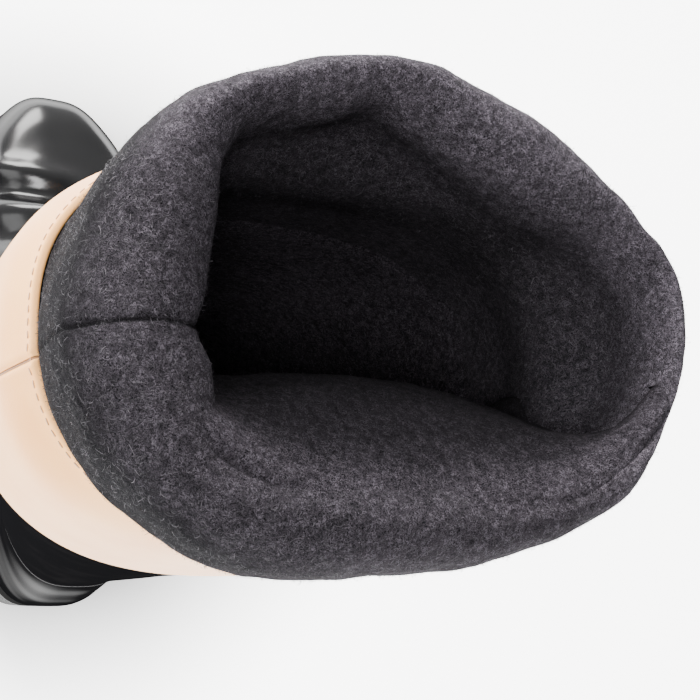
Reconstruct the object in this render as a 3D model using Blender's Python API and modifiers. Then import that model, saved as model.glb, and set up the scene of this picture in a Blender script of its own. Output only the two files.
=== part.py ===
"""A tall right boot on its sole: outsole, heel, insole, hollow upper, shaft, top band and felt collar.

The toe points to -Y, the medial side is +X and the floor is z = 0.
Sizes are in millimetres until a mesh is made.
"""

import math
from collections import namedtuple

import bmesh
import bpy
import numpy as np

MM = 0.001

# Driving sizes of the last and the shaft.
SOLE_LENGTH = 252.0
BALL_WIDTH = 88.0
INSTEP_HEIGHT = 100.0
HEEL_HEIGHT = 24.0
LEATHER_TOP = 352.0
CREST_HEIGHT = 390.0

# Walls, layers and the gap that parts two pieces.
UPPER_WALL = 2.2
BAND_WALL = 1.6
BAND_HEIGHT = 40.0
BAND_FALL = 44.0
FELT_WALL = 5.0
FELT_LEG_FOOT = 300.0
INSOLE_THICKNESS = 3.0
GAP = 0.3

# Cross grooves of the tread.
GROOVE_WIDTH = 3.5
GROOVE_DEPTH = 2.0
GROOVE_PITCH = 11.0
FOREFOOT_GROOVES = 6
FOREFOOT_GROOVE_START = 0.62
HEEL_GROOVES = 3
HEEL_GROOVE_START = 0.07

# Faceting.
COLUMNS = 56
FOOT_RINGS = 14
SHAFT_RINGS = 14
BAND_RINGS = 8
SOLE_STATIONS = 44
SOLE_ACROSS = 6
END_CROWDING = 0.14

HALF_LENGTH = SOLE_LENGTH / 2
HALF_BALL = BALL_WIDTH / 2

# A section of the upper is a closed ring from its back point to its front point. back and front are
# fractions of the sole length from the heel, the rises are fractions of the instep height, and the five
# half widths are fractions of half the ball width. follow is how far the ring keeps the sole's curve.
# A smaller flank or nose gives a fuller side or end. The shaft is sewn to the foot at the ankle seam's row.
Section = namedtuple("Section", "back back_rise front front_rise follow heel waist ball toe tip flank nose")
FEATHER = Section(0.014, 0.303, 0.984, 0.163, 1.00, 0.79, 0.63, 1.01, 1.04, 0.82, 0.62, 1.00)
UPPER_SECTIONS = (
    FEATHER,
    Section(0.006, 0.38, 0.992, 0.24, 0.95, 0.82, 0.67, 1.04, 1.08, 0.85, 0.62, 1.00),
    Section(0.003, 0.47, 0.988, 0.32, 0.90, 0.83, 0.69, 1.04, 1.07, 0.85, 0.62, 1.00),
    Section(0.003, 0.56, 0.968, 0.40, 0.80, 0.82, 0.70, 1.02, 1.03, 0.82, 0.62, 1.00),
    Section(0.005, 0.64, 0.930, 0.46, 0.65, 0.80, 0.71, 0.98, 0.96, 0.80, 0.63, 1.00),
    Section(0.008, 0.72, 0.870, 0.50, 0.50, 0.78, 0.72, 0.92, 0.88, 0.77, 0.64, 1.00),
    Section(0.014, 0.80, 0.798, 0.55, 0.35, 0.77, 0.74, 0.86, 0.82, 0.74, 0.65, 1.00),
    Section(0.020, 0.88, 0.720, 0.62, 0.20, 0.77, 0.76, 0.82, 0.77, 0.72, 0.66, 1.00),
    Section(0.028, 0.97, 0.647, 0.72, 0.10, 0.78, 0.79, 0.80, 0.75, 0.72, 0.68, 1.00),
    Section(0.034, 1.07, 0.579, 0.86, 0.00, 0.82, 0.83, 0.82, 0.77, 0.75, 0.71, 1.00),
    Section(0.038, 1.18, 0.524, 1.03, 0.00, 0.88, 0.89, 0.87, 0.83, 0.82, 0.76, 1.00),
    Section(0.040, 1.31, 0.486, 1.24, 0.00, 0.95, 0.96, 0.95, 0.92, 0.91, 0.83, 1.00),
    Section(0.040, 1.50, 0.464, 1.50, 0.00, 1.04, 1.04, 1.04, 1.03, 1.03, 0.88, 0.98),
    Section(0.042, 1.80, 0.454, 1.82, 0.00, 1.16, 1.16, 1.16, 1.16, 1.16, 0.90, 0.94),
    Section(0.046, 2.20, 0.450, 2.21, 0.00, 1.32, 1.32, 1.32, 1.32, 1.32, 0.88, 0.90),
    Section(0.050, 2.62, 0.448, 2.62, 0.00, 1.47, 1.47, 1.47, 1.47, 1.47, 0.84, 0.85),
    Section(0.055, 3.00, 0.448, 3.00, 0.00, 1.59, 1.59, 1.59, 1.59, 1.59, 0.79, 0.80),
    Section(0.060, 3.30, 0.440, 3.30, 0.00, 1.60, 1.60, 1.60, 1.60, 1.60, 0.80, 0.80),
    Section(0.066, 3.52, 0.431, 3.52, 0.00, 1.50, 1.50, 1.50, 1.50, 1.50, 0.87, 0.87),
)
ANKLE_SEAM = 9
WIDTH_STATIONS = (0.0, 0.12, 0.42, 0.70, 0.90, 1.0)
SOLE_OUTLINE = Section(0.0, 0.0, 1.0, 0.0, 0.0, 0.85, 0.69, 1.08, 1.12, 0.88, 0.62, 1.00)
HEEL_BREAST = 0.27

# The sole along its length: how far its centre swings to the medial side, the lift of its underside as a
# fraction of the heel height, and its thickness.
SoleStation = namedtuple("SoleStation", "along swing lift thickness")
SOLE_STATIONS_TABLE = (
    SoleStation(0.00, 0.0, 1.00, 6.0),
    SoleStation(0.30, 0.0, 1.00, 6.0),
    SoleStation(0.40, -1.0, 0.84, 6.2),
    SoleStation(0.50, -1.8, 0.42, 6.8),
    SoleStation(0.58, -2.0, 0.09, 7.6),
    SoleStation(0.63, -1.6, 0.00, 8.0),
    SoleStation(0.82, 1.5, 0.00, 8.0),
    SoleStation(0.91, 4.0, 0.10, 8.0),
    SoleStation(1.00, 7.0, 0.33, 8.0),
)

# The felt roll's outer swell seen from above: its reach from the collar's centre, on bearings in degrees
# from the medial side through the back.
CollarBearing = namedtuple("CollarBearing", "bearing reach")
COLLAR_CENTRE_Y = 66.5
COLLAR_BEARINGS = (
    CollarBearing(0.0, 69.5),
    CollarBearing(45.0, 60.5),
    CollarBearing(90.0, 50.0),
    CollarBearing(135.0, 60.0),
    CollarBearing(165.0, 74.0),
    CollarBearing(195.0, 76.5),
    CollarBearing(225.0, 66.5),
    CollarBearing(270.0, 61.0),
    CollarBearing(315.0, 62.5),
)

# The roll's inner lip round the mouth, from the collar's centre. It is thickest at the back, where it sags,
# and the mouth narrows from its front to its lateral end by the taper.
Mouth = namedtuple("Mouth", "medial lateral back front fullness taper sag")
MOUTH = Mouth(medial=42.0, lateral=-60.0, back=11.0, front=-46.0, fullness=0.94, taper=0.4, sag=14.0)

# The part of the felt roll's profile above the leather, from its inner lip over the crest to its swell:
# height as a fraction from the leather's edge to the crest, and place from the lip (0) to the swell (1).
RollPoint = namedtuple("RollPoint", "height place")
ROLL_PROFILE = (
    RollPoint(0.34, 0.08),
    RollPoint(0.62, 0.00),
    RollPoint(0.86, 0.09),
    RollPoint(0.97, 0.30),
    RollPoint(1.00, 0.52),
    RollPoint(0.95, 0.74),
    RollPoint(0.80, 0.93),
    RollPoint(0.55, 1.00),
    RollPoint(0.38, 1.00),
)

# The roll's underside, tucked in from its swell (1) to the leather's edge (0), at heights as above.
TUCK_PROFILE = (
    RollPoint(0.24, 0.92),
    RollPoint(0.09, 0.62),
)

Finish = namedtuple("Finish", "colour roughness")
BLACK_LEATHER = Finish((0.012, 0.012, 0.013, 1.0), 0.28)
TAN_LEATHER = Finish((0.80, 0.58, 0.40, 1.0), 0.42)
CHARCOAL_FELT = Finish((0.055, 0.050, 0.055, 1.0), 0.95)
BLACK_RUBBER = Finish((0.020, 0.020, 0.020, 1.0), 0.70)
GREY_SOCK = Finish((0.070, 0.065, 0.070, 1.0), 0.95)


def clear_scene():
    """Removes whatever the scene holds."""
    for held in list(bpy.data.objects):
        bpy.data.objects.remove(held)


def make_collection(name):
    """Returns a new collection linked to the scene."""
    made = bpy.data.collections.new(name)
    bpy.context.scene.collection.children.link(made)
    return made


def make_material(name, finish):
    """Returns a Principled material of one colour and roughness."""
    material = bpy.data.materials.new(name)
    material.use_nodes = True
    shader = material.node_tree.nodes["Principled BSDF"]
    shader.inputs["Base Color"].default_value = finish.colour
    shader.inputs["Roughness"].default_value = finish.roughness
    shader.inputs["Metallic"].default_value = 0.0
    return material


def hermite(at, knots, values, tangents):
    """Returns the piecewise cubic through the knots with these tangents."""
    widths = np.diff(knots)
    span = np.clip(np.searchsorted(knots, at, side="right") - 1, 0, len(widths) - 1)
    part = (at - knots[span]) / widths[span]
    start = (1 + 2 * part) * (1 - part) ** 2 * values[span]
    end = part ** 2 * (3 - 2 * part) * values[span + 1]
    leave = part * (1 - part) ** 2 * widths[span] * tangents[span]
    arrive = part ** 2 * (part - 1) * widths[span] * tangents[span + 1]
    return start + end + leave + arrive


def smooth(at, knots, values):
    """Returns the smooth curve through the knots, which never swings past them."""
    knots = np.asarray(knots, float)
    values = np.asarray(values, float)
    at = np.clip(np.asarray(at, float), knots[0], knots[-1])
    slopes = np.diff(values) / np.diff(knots)
    tangents = np.concatenate([slopes[:1], np.zeros(len(slopes) - 1), slopes[-1:]])
    same = slopes[:-1] * slopes[1:] > 0
    mean = 2 * slopes[:-1] * slopes[1:] / np.where(same, slopes[:-1] + slopes[1:], 1.0)
    tangents[1:-1] = np.where(same, mean, 0.0)
    return hermite(at, knots, values, tangents)


def smooth_round(bearing, knots, values):
    """Returns the smooth closed curve through values given at some bearings in degrees."""
    knots = np.asarray(knots, float)
    turns = np.concatenate([knots - 360.0, knots, knots + 360.0])
    values = np.tile(np.asarray(values, float), 3)
    tangents = np.gradient(values, turns)
    return hermite(np.asarray(bearing, float) % 360.0, turns, values, tangents)


def along_of(y):
    """Returns the fraction of the sole's length, from the heel, of a place on Y."""
    return (HALF_LENGTH - np.asarray(y, float)) / SOLE_LENGTH


def sole_column(y, column):
    """Returns one column of the sole's table at a place on Y."""
    knots = [station.along for station in SOLE_STATIONS_TABLE]
    values = [getattr(station, column) for station in SOLE_STATIONS_TABLE]
    return smooth(along_of(y), knots, values)


def sole_bottom(y):
    """Returns the height of the outsole's underside."""
    return HEEL_HEIGHT * sole_column(y, "lift")


def sole_top(y):
    """Returns the height of the outsole's upper side."""
    return sole_bottom(y) + sole_column(y, "thickness")


def section_at(place):
    """Returns the section at a place in the list of sections, between two rows too."""
    rows = np.arange(len(UPPER_SECTIONS))
    columns = zip(*UPPER_SECTIONS)
    return Section(*(float(smooth(place, rows, column)) for column in columns))


def crowded(turns):
    """Returns turns about a ring moved closer together at its back and front points."""
    return turns - END_CROWDING * np.sin(2 * turns)


def half_width(section, part):
    """Returns a section's half width at parts of its length, before its ends are rounded."""
    widths = (section.heel, section.heel, section.waist, section.ball, section.toe, section.tip)
    return smooth(part, WIDTH_STATIONS, widths) * HALF_BALL


def section_ring(section, margin=0.0, columns=COLUMNS):
    """Returns the points of a section's ring, grown sideways by margin, medial side first."""
    turns = crowded(np.linspace(0.0, 2 * math.pi, columns, endpoint=False))
    back_y = HALF_LENGTH - section.back * SOLE_LENGTH + margin
    front_y = HALF_LENGTH - section.front * SOLE_LENGTH - margin
    reach = np.sign(np.cos(turns)) * np.abs(np.cos(turns)) ** section.nose
    part = (1 - reach) / 2
    y = back_y + part * (front_y - back_y)
    half = half_width(section, part) + margin
    side = np.sign(np.sin(turns)) * np.abs(np.sin(turns)) ** section.flank
    x = sole_column(y, "swing") + half * side
    chord = sole_top(back_y) + part * (sole_top(front_y) - sole_top(back_y))
    rise = section.back_rise + part * (section.front_rise - section.back_rise)
    z = rise * INSTEP_HEIGHT + section.follow * (sole_top(y) - chord)
    return np.stack([x, y, z], axis=1)


def shaft_ring(height, margin):
    """Returns a level ring of the shaft at a height, grown outwards by margin."""
    heights = [section.back_rise * INSTEP_HEIGHT for section in UPPER_SECTIONS]
    place = float(np.interp(height, heights, np.arange(len(heights))))
    for _ in range(8):
        place += (height - section_at(place).back_rise * INSTEP_HEIGHT) / (heights[-1] - heights[-2])
        place = min(max(place, 0.0), len(heights) - 1.0)
    ring = section_ring(section_at(place), margin)
    ring[:, 2] = height
    return ring


def mesh_object(name, points, faces, material, collection):
    """Returns an object of these points and faces, with its faces outwards and shaded smooth."""
    mesh = bpy.data.meshes.new(name)
    mesh.from_pydata([tuple(point) for point in np.asarray(points) * MM], [], faces)
    built = bmesh.new()
    built.from_mesh(mesh)
    bmesh.ops.remove_doubles(built, verts=built.verts, dist=0.00001)
    bmesh.ops.recalc_face_normals(built, faces=built.faces)
    built.to_mesh(mesh)
    built.free()
    mesh.materials.append(material)
    mesh.shade_smooth()
    mesh.set_sharp_from_angle(angle=math.radians(40))
    made = bpy.data.objects.new(name, mesh)
    collection.objects.link(made)
    return made


def ring_faces(rings, columns, closed=False):
    """Returns the quads between each ring and the next, and from the last to the first where closed."""
    faces = []
    last = rings if closed else rings - 1
    for ring in range(last):
        above = (ring + 1) % rings
        for column in range(columns):
            beside = (column + 1) % columns
            faces.append(
                (
                    ring * columns + column,
                    ring * columns + beside,
                    above * columns + beside,
                    above * columns + column,
                )
            )
    return faces


def add_wall(made, thickness, offset):
    """Gives an open surface its wall with Solidify."""
    wall = made.modifiers.new("Wall", "SOLIDIFY")
    wall.thickness = thickness * MM
    wall.offset = offset
    wall.use_even_offset = True
    wall.use_rim = True


def outward(made):
    """Turns an open surface's faces away from the shaft's axis, judged at its highest face."""
    mesh = made.data
    top = max(mesh.polygons, key=lambda face: face.center.z)
    away = top.center.copy()
    away.y -= COLLAR_CENTRE_Y * MM
    away.z = 0.0
    if away.dot(top.normal) < 0:
        mesh.flip_normals()


def make_leather(name, first, last, count, material, collection):
    """Makes one hollow wall through the sections between two places, open at both ends."""
    places = np.linspace(first, last, count)
    rings = [section_ring(section_at(place)) for place in places]
    faces = ring_faces(count, COLUMNS)
    leather = mesh_object(name, np.concatenate(rings), faces, material, collection)
    outward(leather)
    add_wall(leather, UPPER_WALL, -1.0)
    return leather


def make_upper_and_shaft(material, collection):
    """Makes the foot, open underneath, and the shaft that meets it at the ankle seam."""
    rise = UPPER_SECTIONS[ANKLE_SEAM + 1].back_rise - UPPER_SECTIONS[ANKLE_SEAM - 1].back_rise
    half_gap = GAP / (rise * INSTEP_HEIGHT)
    top = len(UPPER_SECTIONS) - 1.0
    upper = make_leather("upper", 0.0, ANKLE_SEAM - half_gap, FOOT_RINGS, material, collection)
    shaft = make_leather("shaft", ANKLE_SEAM + half_gap, top, SHAFT_RINGS, material, collection)
    return upper, shaft


def band_ring(share):
    """Returns a ring of the band, at a share of the way from its slanting lower edge to its top."""
    turns = crowded(np.linspace(0.0, 2 * math.pi, COLUMNS, endpoint=False))
    depths = BAND_HEIGHT + BAND_FALL * (1 + np.cos(turns)) / 2
    heights = LEATHER_TOP - (1 - share) * depths
    return np.stack([shaft_ring(height, GAP)[column] for column, height in enumerate(heights)])


def make_top_band(material, collection):
    """Makes the band round the shaft's top, whose lower edge falls from its front to its back."""
    rings = [band_ring(share) for share in np.linspace(0.0, 1.0, BAND_RINGS)]
    faces = ring_faces(len(rings), COLUMNS)
    band = mesh_object("top_band", np.concatenate(rings), faces, material, collection)
    outward(band)
    add_wall(band, BAND_WALL, 1.0)
    return band


def swell_ring(edge):
    """Returns the plan of the felt roll's swell, a point outside each point of the leather's edge."""
    bearing = np.arctan2(edge[:, 1] - COLLAR_CENTRE_Y, edge[:, 0])
    bearings = [row.bearing for row in COLLAR_BEARINGS]
    reach = smooth_round(np.degrees(bearing), bearings, [row.reach for row in COLLAR_BEARINGS])
    return np.stack([reach * np.cos(bearing), COLLAR_CENTRE_Y + reach * np.sin(bearing)], axis=1)


def mouth_ring():
    """Returns the plan of the felt roll's lip and how far each of its points sags."""
    turns = crowded(np.linspace(0.0, 2 * math.pi, COLUMNS, endpoint=False))
    side = np.sign(np.sin(turns)) * np.abs(np.sin(turns)) ** MOUTH.fullness
    reach = np.sign(np.cos(turns)) * np.abs(np.cos(turns)) ** MOUTH.fullness
    x = (MOUTH.medial + MOUTH.lateral) / 2 + side * (MOUTH.medial - MOUTH.lateral) / 2
    narrowing = np.where(reach < 0, 1 - MOUTH.taper * np.clip(-side, 0.0, 1.0) ** 2, 1.0)
    y = (MOUTH.back + MOUTH.front) / 2 + reach * narrowing * (MOUTH.back - MOUTH.front) / 2
    sag = MOUTH.sag * np.clip(np.cos(turns), 0.0, 1.0) ** 1.5
    return np.stack([x, COLLAR_CENTRE_Y + y], axis=1), sag


def make_felt_collar(material, collection):
    """Makes the felt roll above the leather's edge, with its leg down inside the shaft."""
    edge = shaft_ring(LEATHER_TOP, 0.0)
    swell = swell_ring(edge)
    lip, sag = mouth_ring()
    inside = -UPPER_WALL - 2 * GAP
    seat = LEATHER_TOP + 2 * GAP
    leg_heights = (FELT_LEG_FOOT, (FELT_LEG_FOOT + LEATHER_TOP) / 2)
    rings = [shaft_ring(height, inside - FELT_WALL) for height in (*leg_heights, LEATHER_TOP)]
    for profile, near, drop in ((ROLL_PROFILE, lip, sag), (TUCK_PROFILE, edge[:, :2], 0 * sag)):
        for point in profile:
            plan = near + point.place * (swell - near)
            height = seat + point.height * (CREST_HEIGHT - seat) - drop * (1 - point.place)
            rings.append(np.column_stack([plan, height]))
    for margin in (GAP, inside):
        ring = shaft_ring(LEATHER_TOP, margin)
        ring[:, 2] = seat
        rings.append(ring)
    rings += [shaft_ring(height, inside) for height in reversed(leg_heights)]
    faces = ring_faces(len(rings), COLUMNS, closed=True)
    return mesh_object("felt_collar", np.concatenate(rings), faces, material, collection)


def make_plate(name, outline, end, top, bottom, material, collection):
    """Makes a plate inside an outline, from the heel to a fraction of it, between two height functions."""
    whole = math.pi if end == 1.0 else math.pi / 2
    turn = crowded(np.linspace(0.0, whole, SOLE_STATIONS)) * math.acos(1 - 2 * end) / whole
    part = (1 - np.cos(turn)) / 2
    back_y = HALF_LENGTH - outline.back * SOLE_LENGTH
    front_y = HALF_LENGTH - outline.front * SOLE_LENGTH
    y = back_y + part * (front_y - back_y)
    half = half_width(outline, part) * np.abs(np.sin(turn)) ** outline.flank
    across = np.linspace(-1.0, 1.0, SOLE_ACROSS + 1)
    x = sole_column(y, "swing")[:, None] + half[:, None] * across[None, :]
    place_y = np.repeat(y[:, None], SOLE_ACROSS + 1, axis=1)
    upper_side = np.stack([x, place_y, np.repeat(top(y)[:, None], SOLE_ACROSS + 1, axis=1)], axis=2)
    under_side = np.stack([x, place_y, np.repeat(bottom(y)[:, None], SOLE_ACROSS + 1, axis=1)], axis=2)
    rings = []
    for row in range(SOLE_STATIONS):
        rings.append(np.concatenate([upper_side[row], under_side[row][::-1]]))
    columns = 2 * (SOLE_ACROSS + 1)
    faces = ring_faces(SOLE_STATIONS, columns)
    for first in (0, (SOLE_STATIONS - 1) * columns):
        for step in range(SOLE_ACROSS):
            far = columns - 1 - step
            faces.append((first + step, first + step + 1, first + far - 1, first + far))
    return mesh_object(name, np.concatenate(rings), faces, material, collection)


def cut_grooves(plate, start, count, cutters):
    """Cuts cross grooves into the underside of a plate, from a fraction of the length towards the toe."""
    for groove in range(count):
        y = HALF_LENGTH - start * SOLE_LENGTH - groove * GROOVE_PITCH
        height = sole_bottom(y) if plate.name == "outsole" else 0.0
        bpy.ops.mesh.primitive_cube_add(size=1.0, location=(0.0, y * MM, float(height) * MM))
        cutter = bpy.context.object
        cutter.name = f"{plate.name}_groove_{groove + 1}"
        cutter.scale = (2 * BALL_WIDTH * MM, GROOVE_WIDTH * MM, 2 * GROOVE_DEPTH * MM)
        cutter.hide_render = True
        cutter.display_type = "WIRE"
        for held in cutter.users_collection:
            held.objects.unlink(cutter)
        cutters.objects.link(cutter)
        cut = plate.modifiers.new(f"Groove {groove + 1}", "BOOLEAN")
        cut.operation = "DIFFERENCE"
        cut.solver = "EXACT"
        cut.object = cutter


def make_sole(rubber, sock, collection, cutters):
    """Makes the outsole, the heel under it and the insole on it."""
    outsole = make_plate("outsole", SOLE_OUTLINE, 1.0, sole_top, sole_bottom, rubber, collection)
    cut_grooves(outsole, FOREFOOT_GROOVE_START, FOREFOOT_GROOVES, cutters)
    heel = make_plate(
        "heel",
        SOLE_OUTLINE,
        HEEL_BREAST,
        lambda y: sole_bottom(y) - GAP,
        np.zeros_like,
        rubber,
        collection,
    )
    cut_grooves(heel, HEEL_GROOVE_START, HEEL_GROOVES, cutters)
    inset = (UPPER_WALL + 3 * GAP) / HALF_BALL
    shorter = (UPPER_WALL + 3 * GAP) / SOLE_LENGTH
    inside = FEATHER._replace(
        back=FEATHER.back + shorter,
        front=FEATHER.front - shorter,
        heel=FEATHER.heel - inset,
        waist=FEATHER.waist - inset,
        ball=FEATHER.ball - inset,
        toe=FEATHER.toe - inset,
        tip=FEATHER.tip - inset,
    )
    insole = make_plate(
        "insole",
        inside,
        1.0,
        lambda y: sole_top(y) + GAP + INSOLE_THICKNESS,
        lambda y: sole_top(y) + GAP,
        sock,
        collection,
    )
    return outsole, heel, insole


def main():
    """Builds the boot's pieces and hangs them on one empty at the floor."""
    clear_scene()
    boot = make_collection("TallBoot")
    cutters = make_collection("Cutters")
    cutters.hide_render = True
    rubber = make_material("black_rubber", BLACK_RUBBER)
    sock = make_material("grey_sock", GREY_SOCK)
    pieces = list(make_sole(rubber, sock, boot, cutters))
    pieces += make_upper_and_shaft(make_material("black_leather", BLACK_LEATHER), boot)
    pieces.append(make_top_band(make_material("tan_leather", TAN_LEATHER), boot))
    pieces.append(make_felt_collar(make_material("charcoal_felt", CHARCOAL_FELT), boot))
    root = bpy.data.objects.new("tall_boot", None)
    boot.objects.link(root)
    for piece in pieces:
        piece.parent = root


main()
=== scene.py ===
"""Looks of a tall two-tone boot: felt roll and lining, tan top band, black upper, sole, stage and lights."""

import logging
import math
from dataclasses import dataclass, field
from enum import Enum
from typing import Callable, NamedTuple

import bpy
import numpy as np
from mathutils import Matrix, Vector


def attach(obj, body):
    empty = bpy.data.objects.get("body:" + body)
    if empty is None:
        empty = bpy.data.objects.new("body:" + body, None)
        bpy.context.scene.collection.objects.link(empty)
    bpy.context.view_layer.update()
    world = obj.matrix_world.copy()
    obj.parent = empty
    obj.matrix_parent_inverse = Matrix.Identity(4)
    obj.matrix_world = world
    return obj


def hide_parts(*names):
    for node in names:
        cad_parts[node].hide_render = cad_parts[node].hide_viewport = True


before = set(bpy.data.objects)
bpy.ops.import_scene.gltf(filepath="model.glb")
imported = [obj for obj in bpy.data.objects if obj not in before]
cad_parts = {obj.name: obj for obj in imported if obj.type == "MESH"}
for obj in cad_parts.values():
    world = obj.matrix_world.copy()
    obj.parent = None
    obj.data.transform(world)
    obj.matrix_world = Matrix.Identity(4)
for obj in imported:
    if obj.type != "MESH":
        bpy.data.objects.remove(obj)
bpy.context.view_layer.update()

MM = 0.001
BODY = "root"
Array = np.ndarray
Colour = tuple[float, float, float]
log = logging.getLogger("tall_boot")

TINY = 1e-9
MERGE_REACH = 0.000002
NOISE_MIDDLE = 0.5
BELL_SHARE = 0.55
LEVEL_TRIES = 8
SHAFT_LEVELS = 12
LUMP_SHIFT = 100.0
# The integer hash that gives each random lump its height.
HASH_FACTORS = (73856093, 19349663, 83492791)
HASH_SEED = 2654435
HASH_STIR = 1274126177
HASH_MASK = 0x7FFFFFFF
HASH_LEVELS = 65536

BLACK: Colour = (0.0, 0.0, 0.0)
WHITE: Colour = (1.0, 1.0, 1.0)


class Slot(Enum):
    """The record's material slots, one passed with each piece."""

    BLACK = "black_leather"
    TAN = "tan_leather"
    FELT = "charcoal_felt"


class Node(Enum):
    """The CAD nodes."""

    OUTSOLE = "outsole"
    HEEL = "heel"
    INSOLE = "insole"
    UPPER = "upper"
    SHAFT = "shaft"
    BAND = "top_band"
    FELT = "felt_collar"


class Section(NamedTuple):
    """A ring of the upper: ends and rises as fractions, half widths as fractions of half the ball."""

    back: float
    back_rise: float
    front: float
    front_rise: float
    follow: float
    heel: float
    waist: float
    ball: float
    toe: float
    tip: float
    flank: float
    nose: float


class SoleStation(NamedTuple):
    """A place along the sole: its swing to the medial side, its lift and its thickness."""

    along: float
    swing: float
    lift: float
    thickness: float


class LipPoint(NamedTuple):
    """A point of the felt roll's lip: its turn from the back in degrees, and its place from the centre."""

    turn: float
    x: float
    y: float


class RollPoint(NamedTuple):
    """A point of the felt roll's profile: height above the leather and place from lip to swell."""

    height: float
    place: float


class Reach(NamedTuple):
    """How far the felt roll swells from the collar's centre on a bearing in degrees."""

    bearing: float
    reach: float


class Grain(NamedTuple):
    """Settings of a noise pattern: the size of its features in millimetres, and its character."""

    size: float
    detail: float = 3.0
    roughness: float = 0.55
    distortion: float = 0.0


class Span(NamedTuple):
    """The two ends of a step: where it is 0 and where it is 1. The end may be the lower."""

    start: float
    end: float


class Lump(NamedTuple):
    """A layer of random lumps: height and spacing in millimetres, and the pattern's seed."""

    height: float
    size: float
    seed: int


def table_of(kind: type, *rows: tuple[float, ...]) -> tuple:
    """Returns a table whose rows are of one named kind."""
    return tuple(kind(*row) for row in rows)


def hermite(at: Array, knots: Array, values: Array, tangents: Array) -> Array:
    """Evaluates a piecewise cubic.

    Args:
        at: Places to evaluate.
        knots: Rising places of the knots.
        values: Values at the knots.
        tangents: Slopes at the knots.

    Returns:
        The curve's value at each place.
    """
    widths = np.diff(knots)
    span = np.clip(np.searchsorted(knots, at, side="right") - 1, 0, len(widths) - 1)
    width = widths[span]
    part = (at - knots[span]) / width
    if values.ndim > 1:
        spread = (-1, *([1] * (values.ndim - 1)))
        width, part = width.reshape(spread), part.reshape(spread)
    start = (1 + 2 * part) * (1 - part) ** 2 * values[span]
    end = part**2 * (3 - 2 * part) * values[span + 1]
    leave = part * (1 - part) ** 2 * width * tangents[span]
    arrive = part**2 * (part - 1) * width * tangents[span + 1]
    return start + end + leave + arrive


def smooth(at: Array, knots: list[float], values: list[float]) -> Array:
    """Evaluates the smooth curve through some knots that never swings past them.

    Args:
        at: Places to evaluate, held within the knots.
        knots: Rising places of the knots.
        values: Values at the knots.

    Returns:
        The curve's value at each place.
    """
    places = np.asarray(knots, float)
    heights = np.asarray(values, float)
    at = np.clip(np.asarray(at, float), places[0], places[-1])
    slopes = np.diff(heights) / np.diff(places)
    same = slopes[:-1] * slopes[1:] > 0
    mean = 2 * slopes[:-1] * slopes[1:] / np.where(same, slopes[:-1] + slopes[1:], 1.0)
    tangents = np.concatenate([slopes[:1], np.where(same, mean, 0.0), slopes[-1:]])
    return hermite(at, places, heights, tangents)


def smooth_columns(at: Array, knots: Array, table: Array) -> Array:
    """Evaluates one smooth curve for each column of a table.

    Args:
        at: A place for each column.
        knots: Rising places of the table's rows.
        table: Values of shape (rows, columns).

    Returns:
        Each column's value at its own place.
    """
    tangents = np.gradient(table, knots, axis=0)
    return np.array(
        [
            float(hermite(np.array([spot]), knots, table[:, column], tangents[:, column])[0])
            for column, spot in enumerate(at)
        ]
    )


def smooth_round(bearing: Array, knots: list[float], values: list[float]) -> Array:
    """Evaluates the smooth closed curve through values at some bearings.

    Args:
        bearing: Bearings to evaluate, in degrees.
        knots: Rising bearings of the knots, in degrees.
        values: Values at the knots.

    Returns:
        The curve's value on each bearing.
    """
    places = np.asarray(knots, float)
    turns = np.concatenate([places - 360.0, places, places + 360.0])
    heights = np.tile(np.asarray(values, float), 3)
    return hermite(np.asarray(bearing, float) % 360.0, turns, heights, np.gradient(heights, turns))


def signed_power(value: Array, power: float) -> Array:
    """Returns values raised to a power with their signs kept."""
    return np.sign(value) * np.abs(value) ** power


def bell(distance: Array, width: float) -> Array:
    """Returns a soft bump, 1 at distance 0 and nearly 0 past the width."""
    return np.exp(-((distance / (BELL_SHARE * width)) ** 2))


def ramp(at: Array, span: Span) -> Array:
    """Returns a straight rise from 0 at the span's start to 1 at its end."""
    return np.clip((at - span.start) / (span.end - span.start), 0.0, 1.0)


def unit(vectors: Array) -> Array:
    """Returns vectors along the last axis with their lengths made 1."""
    return vectors / np.maximum(np.linalg.norm(vectors, axis=-1, keepdims=True), TINY)


def running(steps: Array) -> Array:
    """Returns the running sums of steps along the last axis, from 0."""
    return np.pad(np.cumsum(steps, axis=-1), [(0, 0)] * (steps.ndim - 1) + [(1, 0)])


def run_through(controls: Array, count: int) -> tuple[Array, Array, Array]:
    """Runs a smooth sheet through rows of control points.

    Args:
        controls: Points of shape (rows, columns, axes).
        count: How many rows the sheet has.

    Returns:
        The sheet's points, the length at which each of its rows lies, and that of each control row.
    """
    knots = running(np.linalg.norm(np.diff(controls, axis=0), axis=2).mean(axis=1))
    at = np.linspace(0.0, knots[-1], count)
    return hermite(at, knots, controls, np.gradient(controls, knots, axis=0)), at, knots


def lumps(points: Array, size: float, seed: int) -> Array:
    """Gives soft random lumps in space.

    Args:
        points: Points in millimetres, the last axis being x, y and z.
        size: Distance between lumps in millimetres.
        seed: Picks the pattern.

    Returns:
        A value from about -1 to 1 for each point.
    """
    where = points / size + LUMP_SHIFT
    base = np.floor(where).astype(np.int64)
    part = where - base
    part = part * part * (3 - 2 * part)
    total = np.zeros(points.shape[:-1])
    for corner in np.ndindex(2, 2, 2):
        mixed = np.bitwise_xor.reduce((base + np.array(corner)) * HASH_FACTORS, axis=-1) ^ seed * HASH_SEED
        mixed = (mixed ^ (mixed >> 13)) * HASH_STIR & HASH_MASK
        value = (mixed ^ (mixed >> 16)) % HASH_LEVELS / (HASH_LEVELS / 2 - 0.5) - 1.0
        total += value * np.prod(np.where(np.array(corner) == 1, part, 1 - part), axis=-1)
    return total


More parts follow.
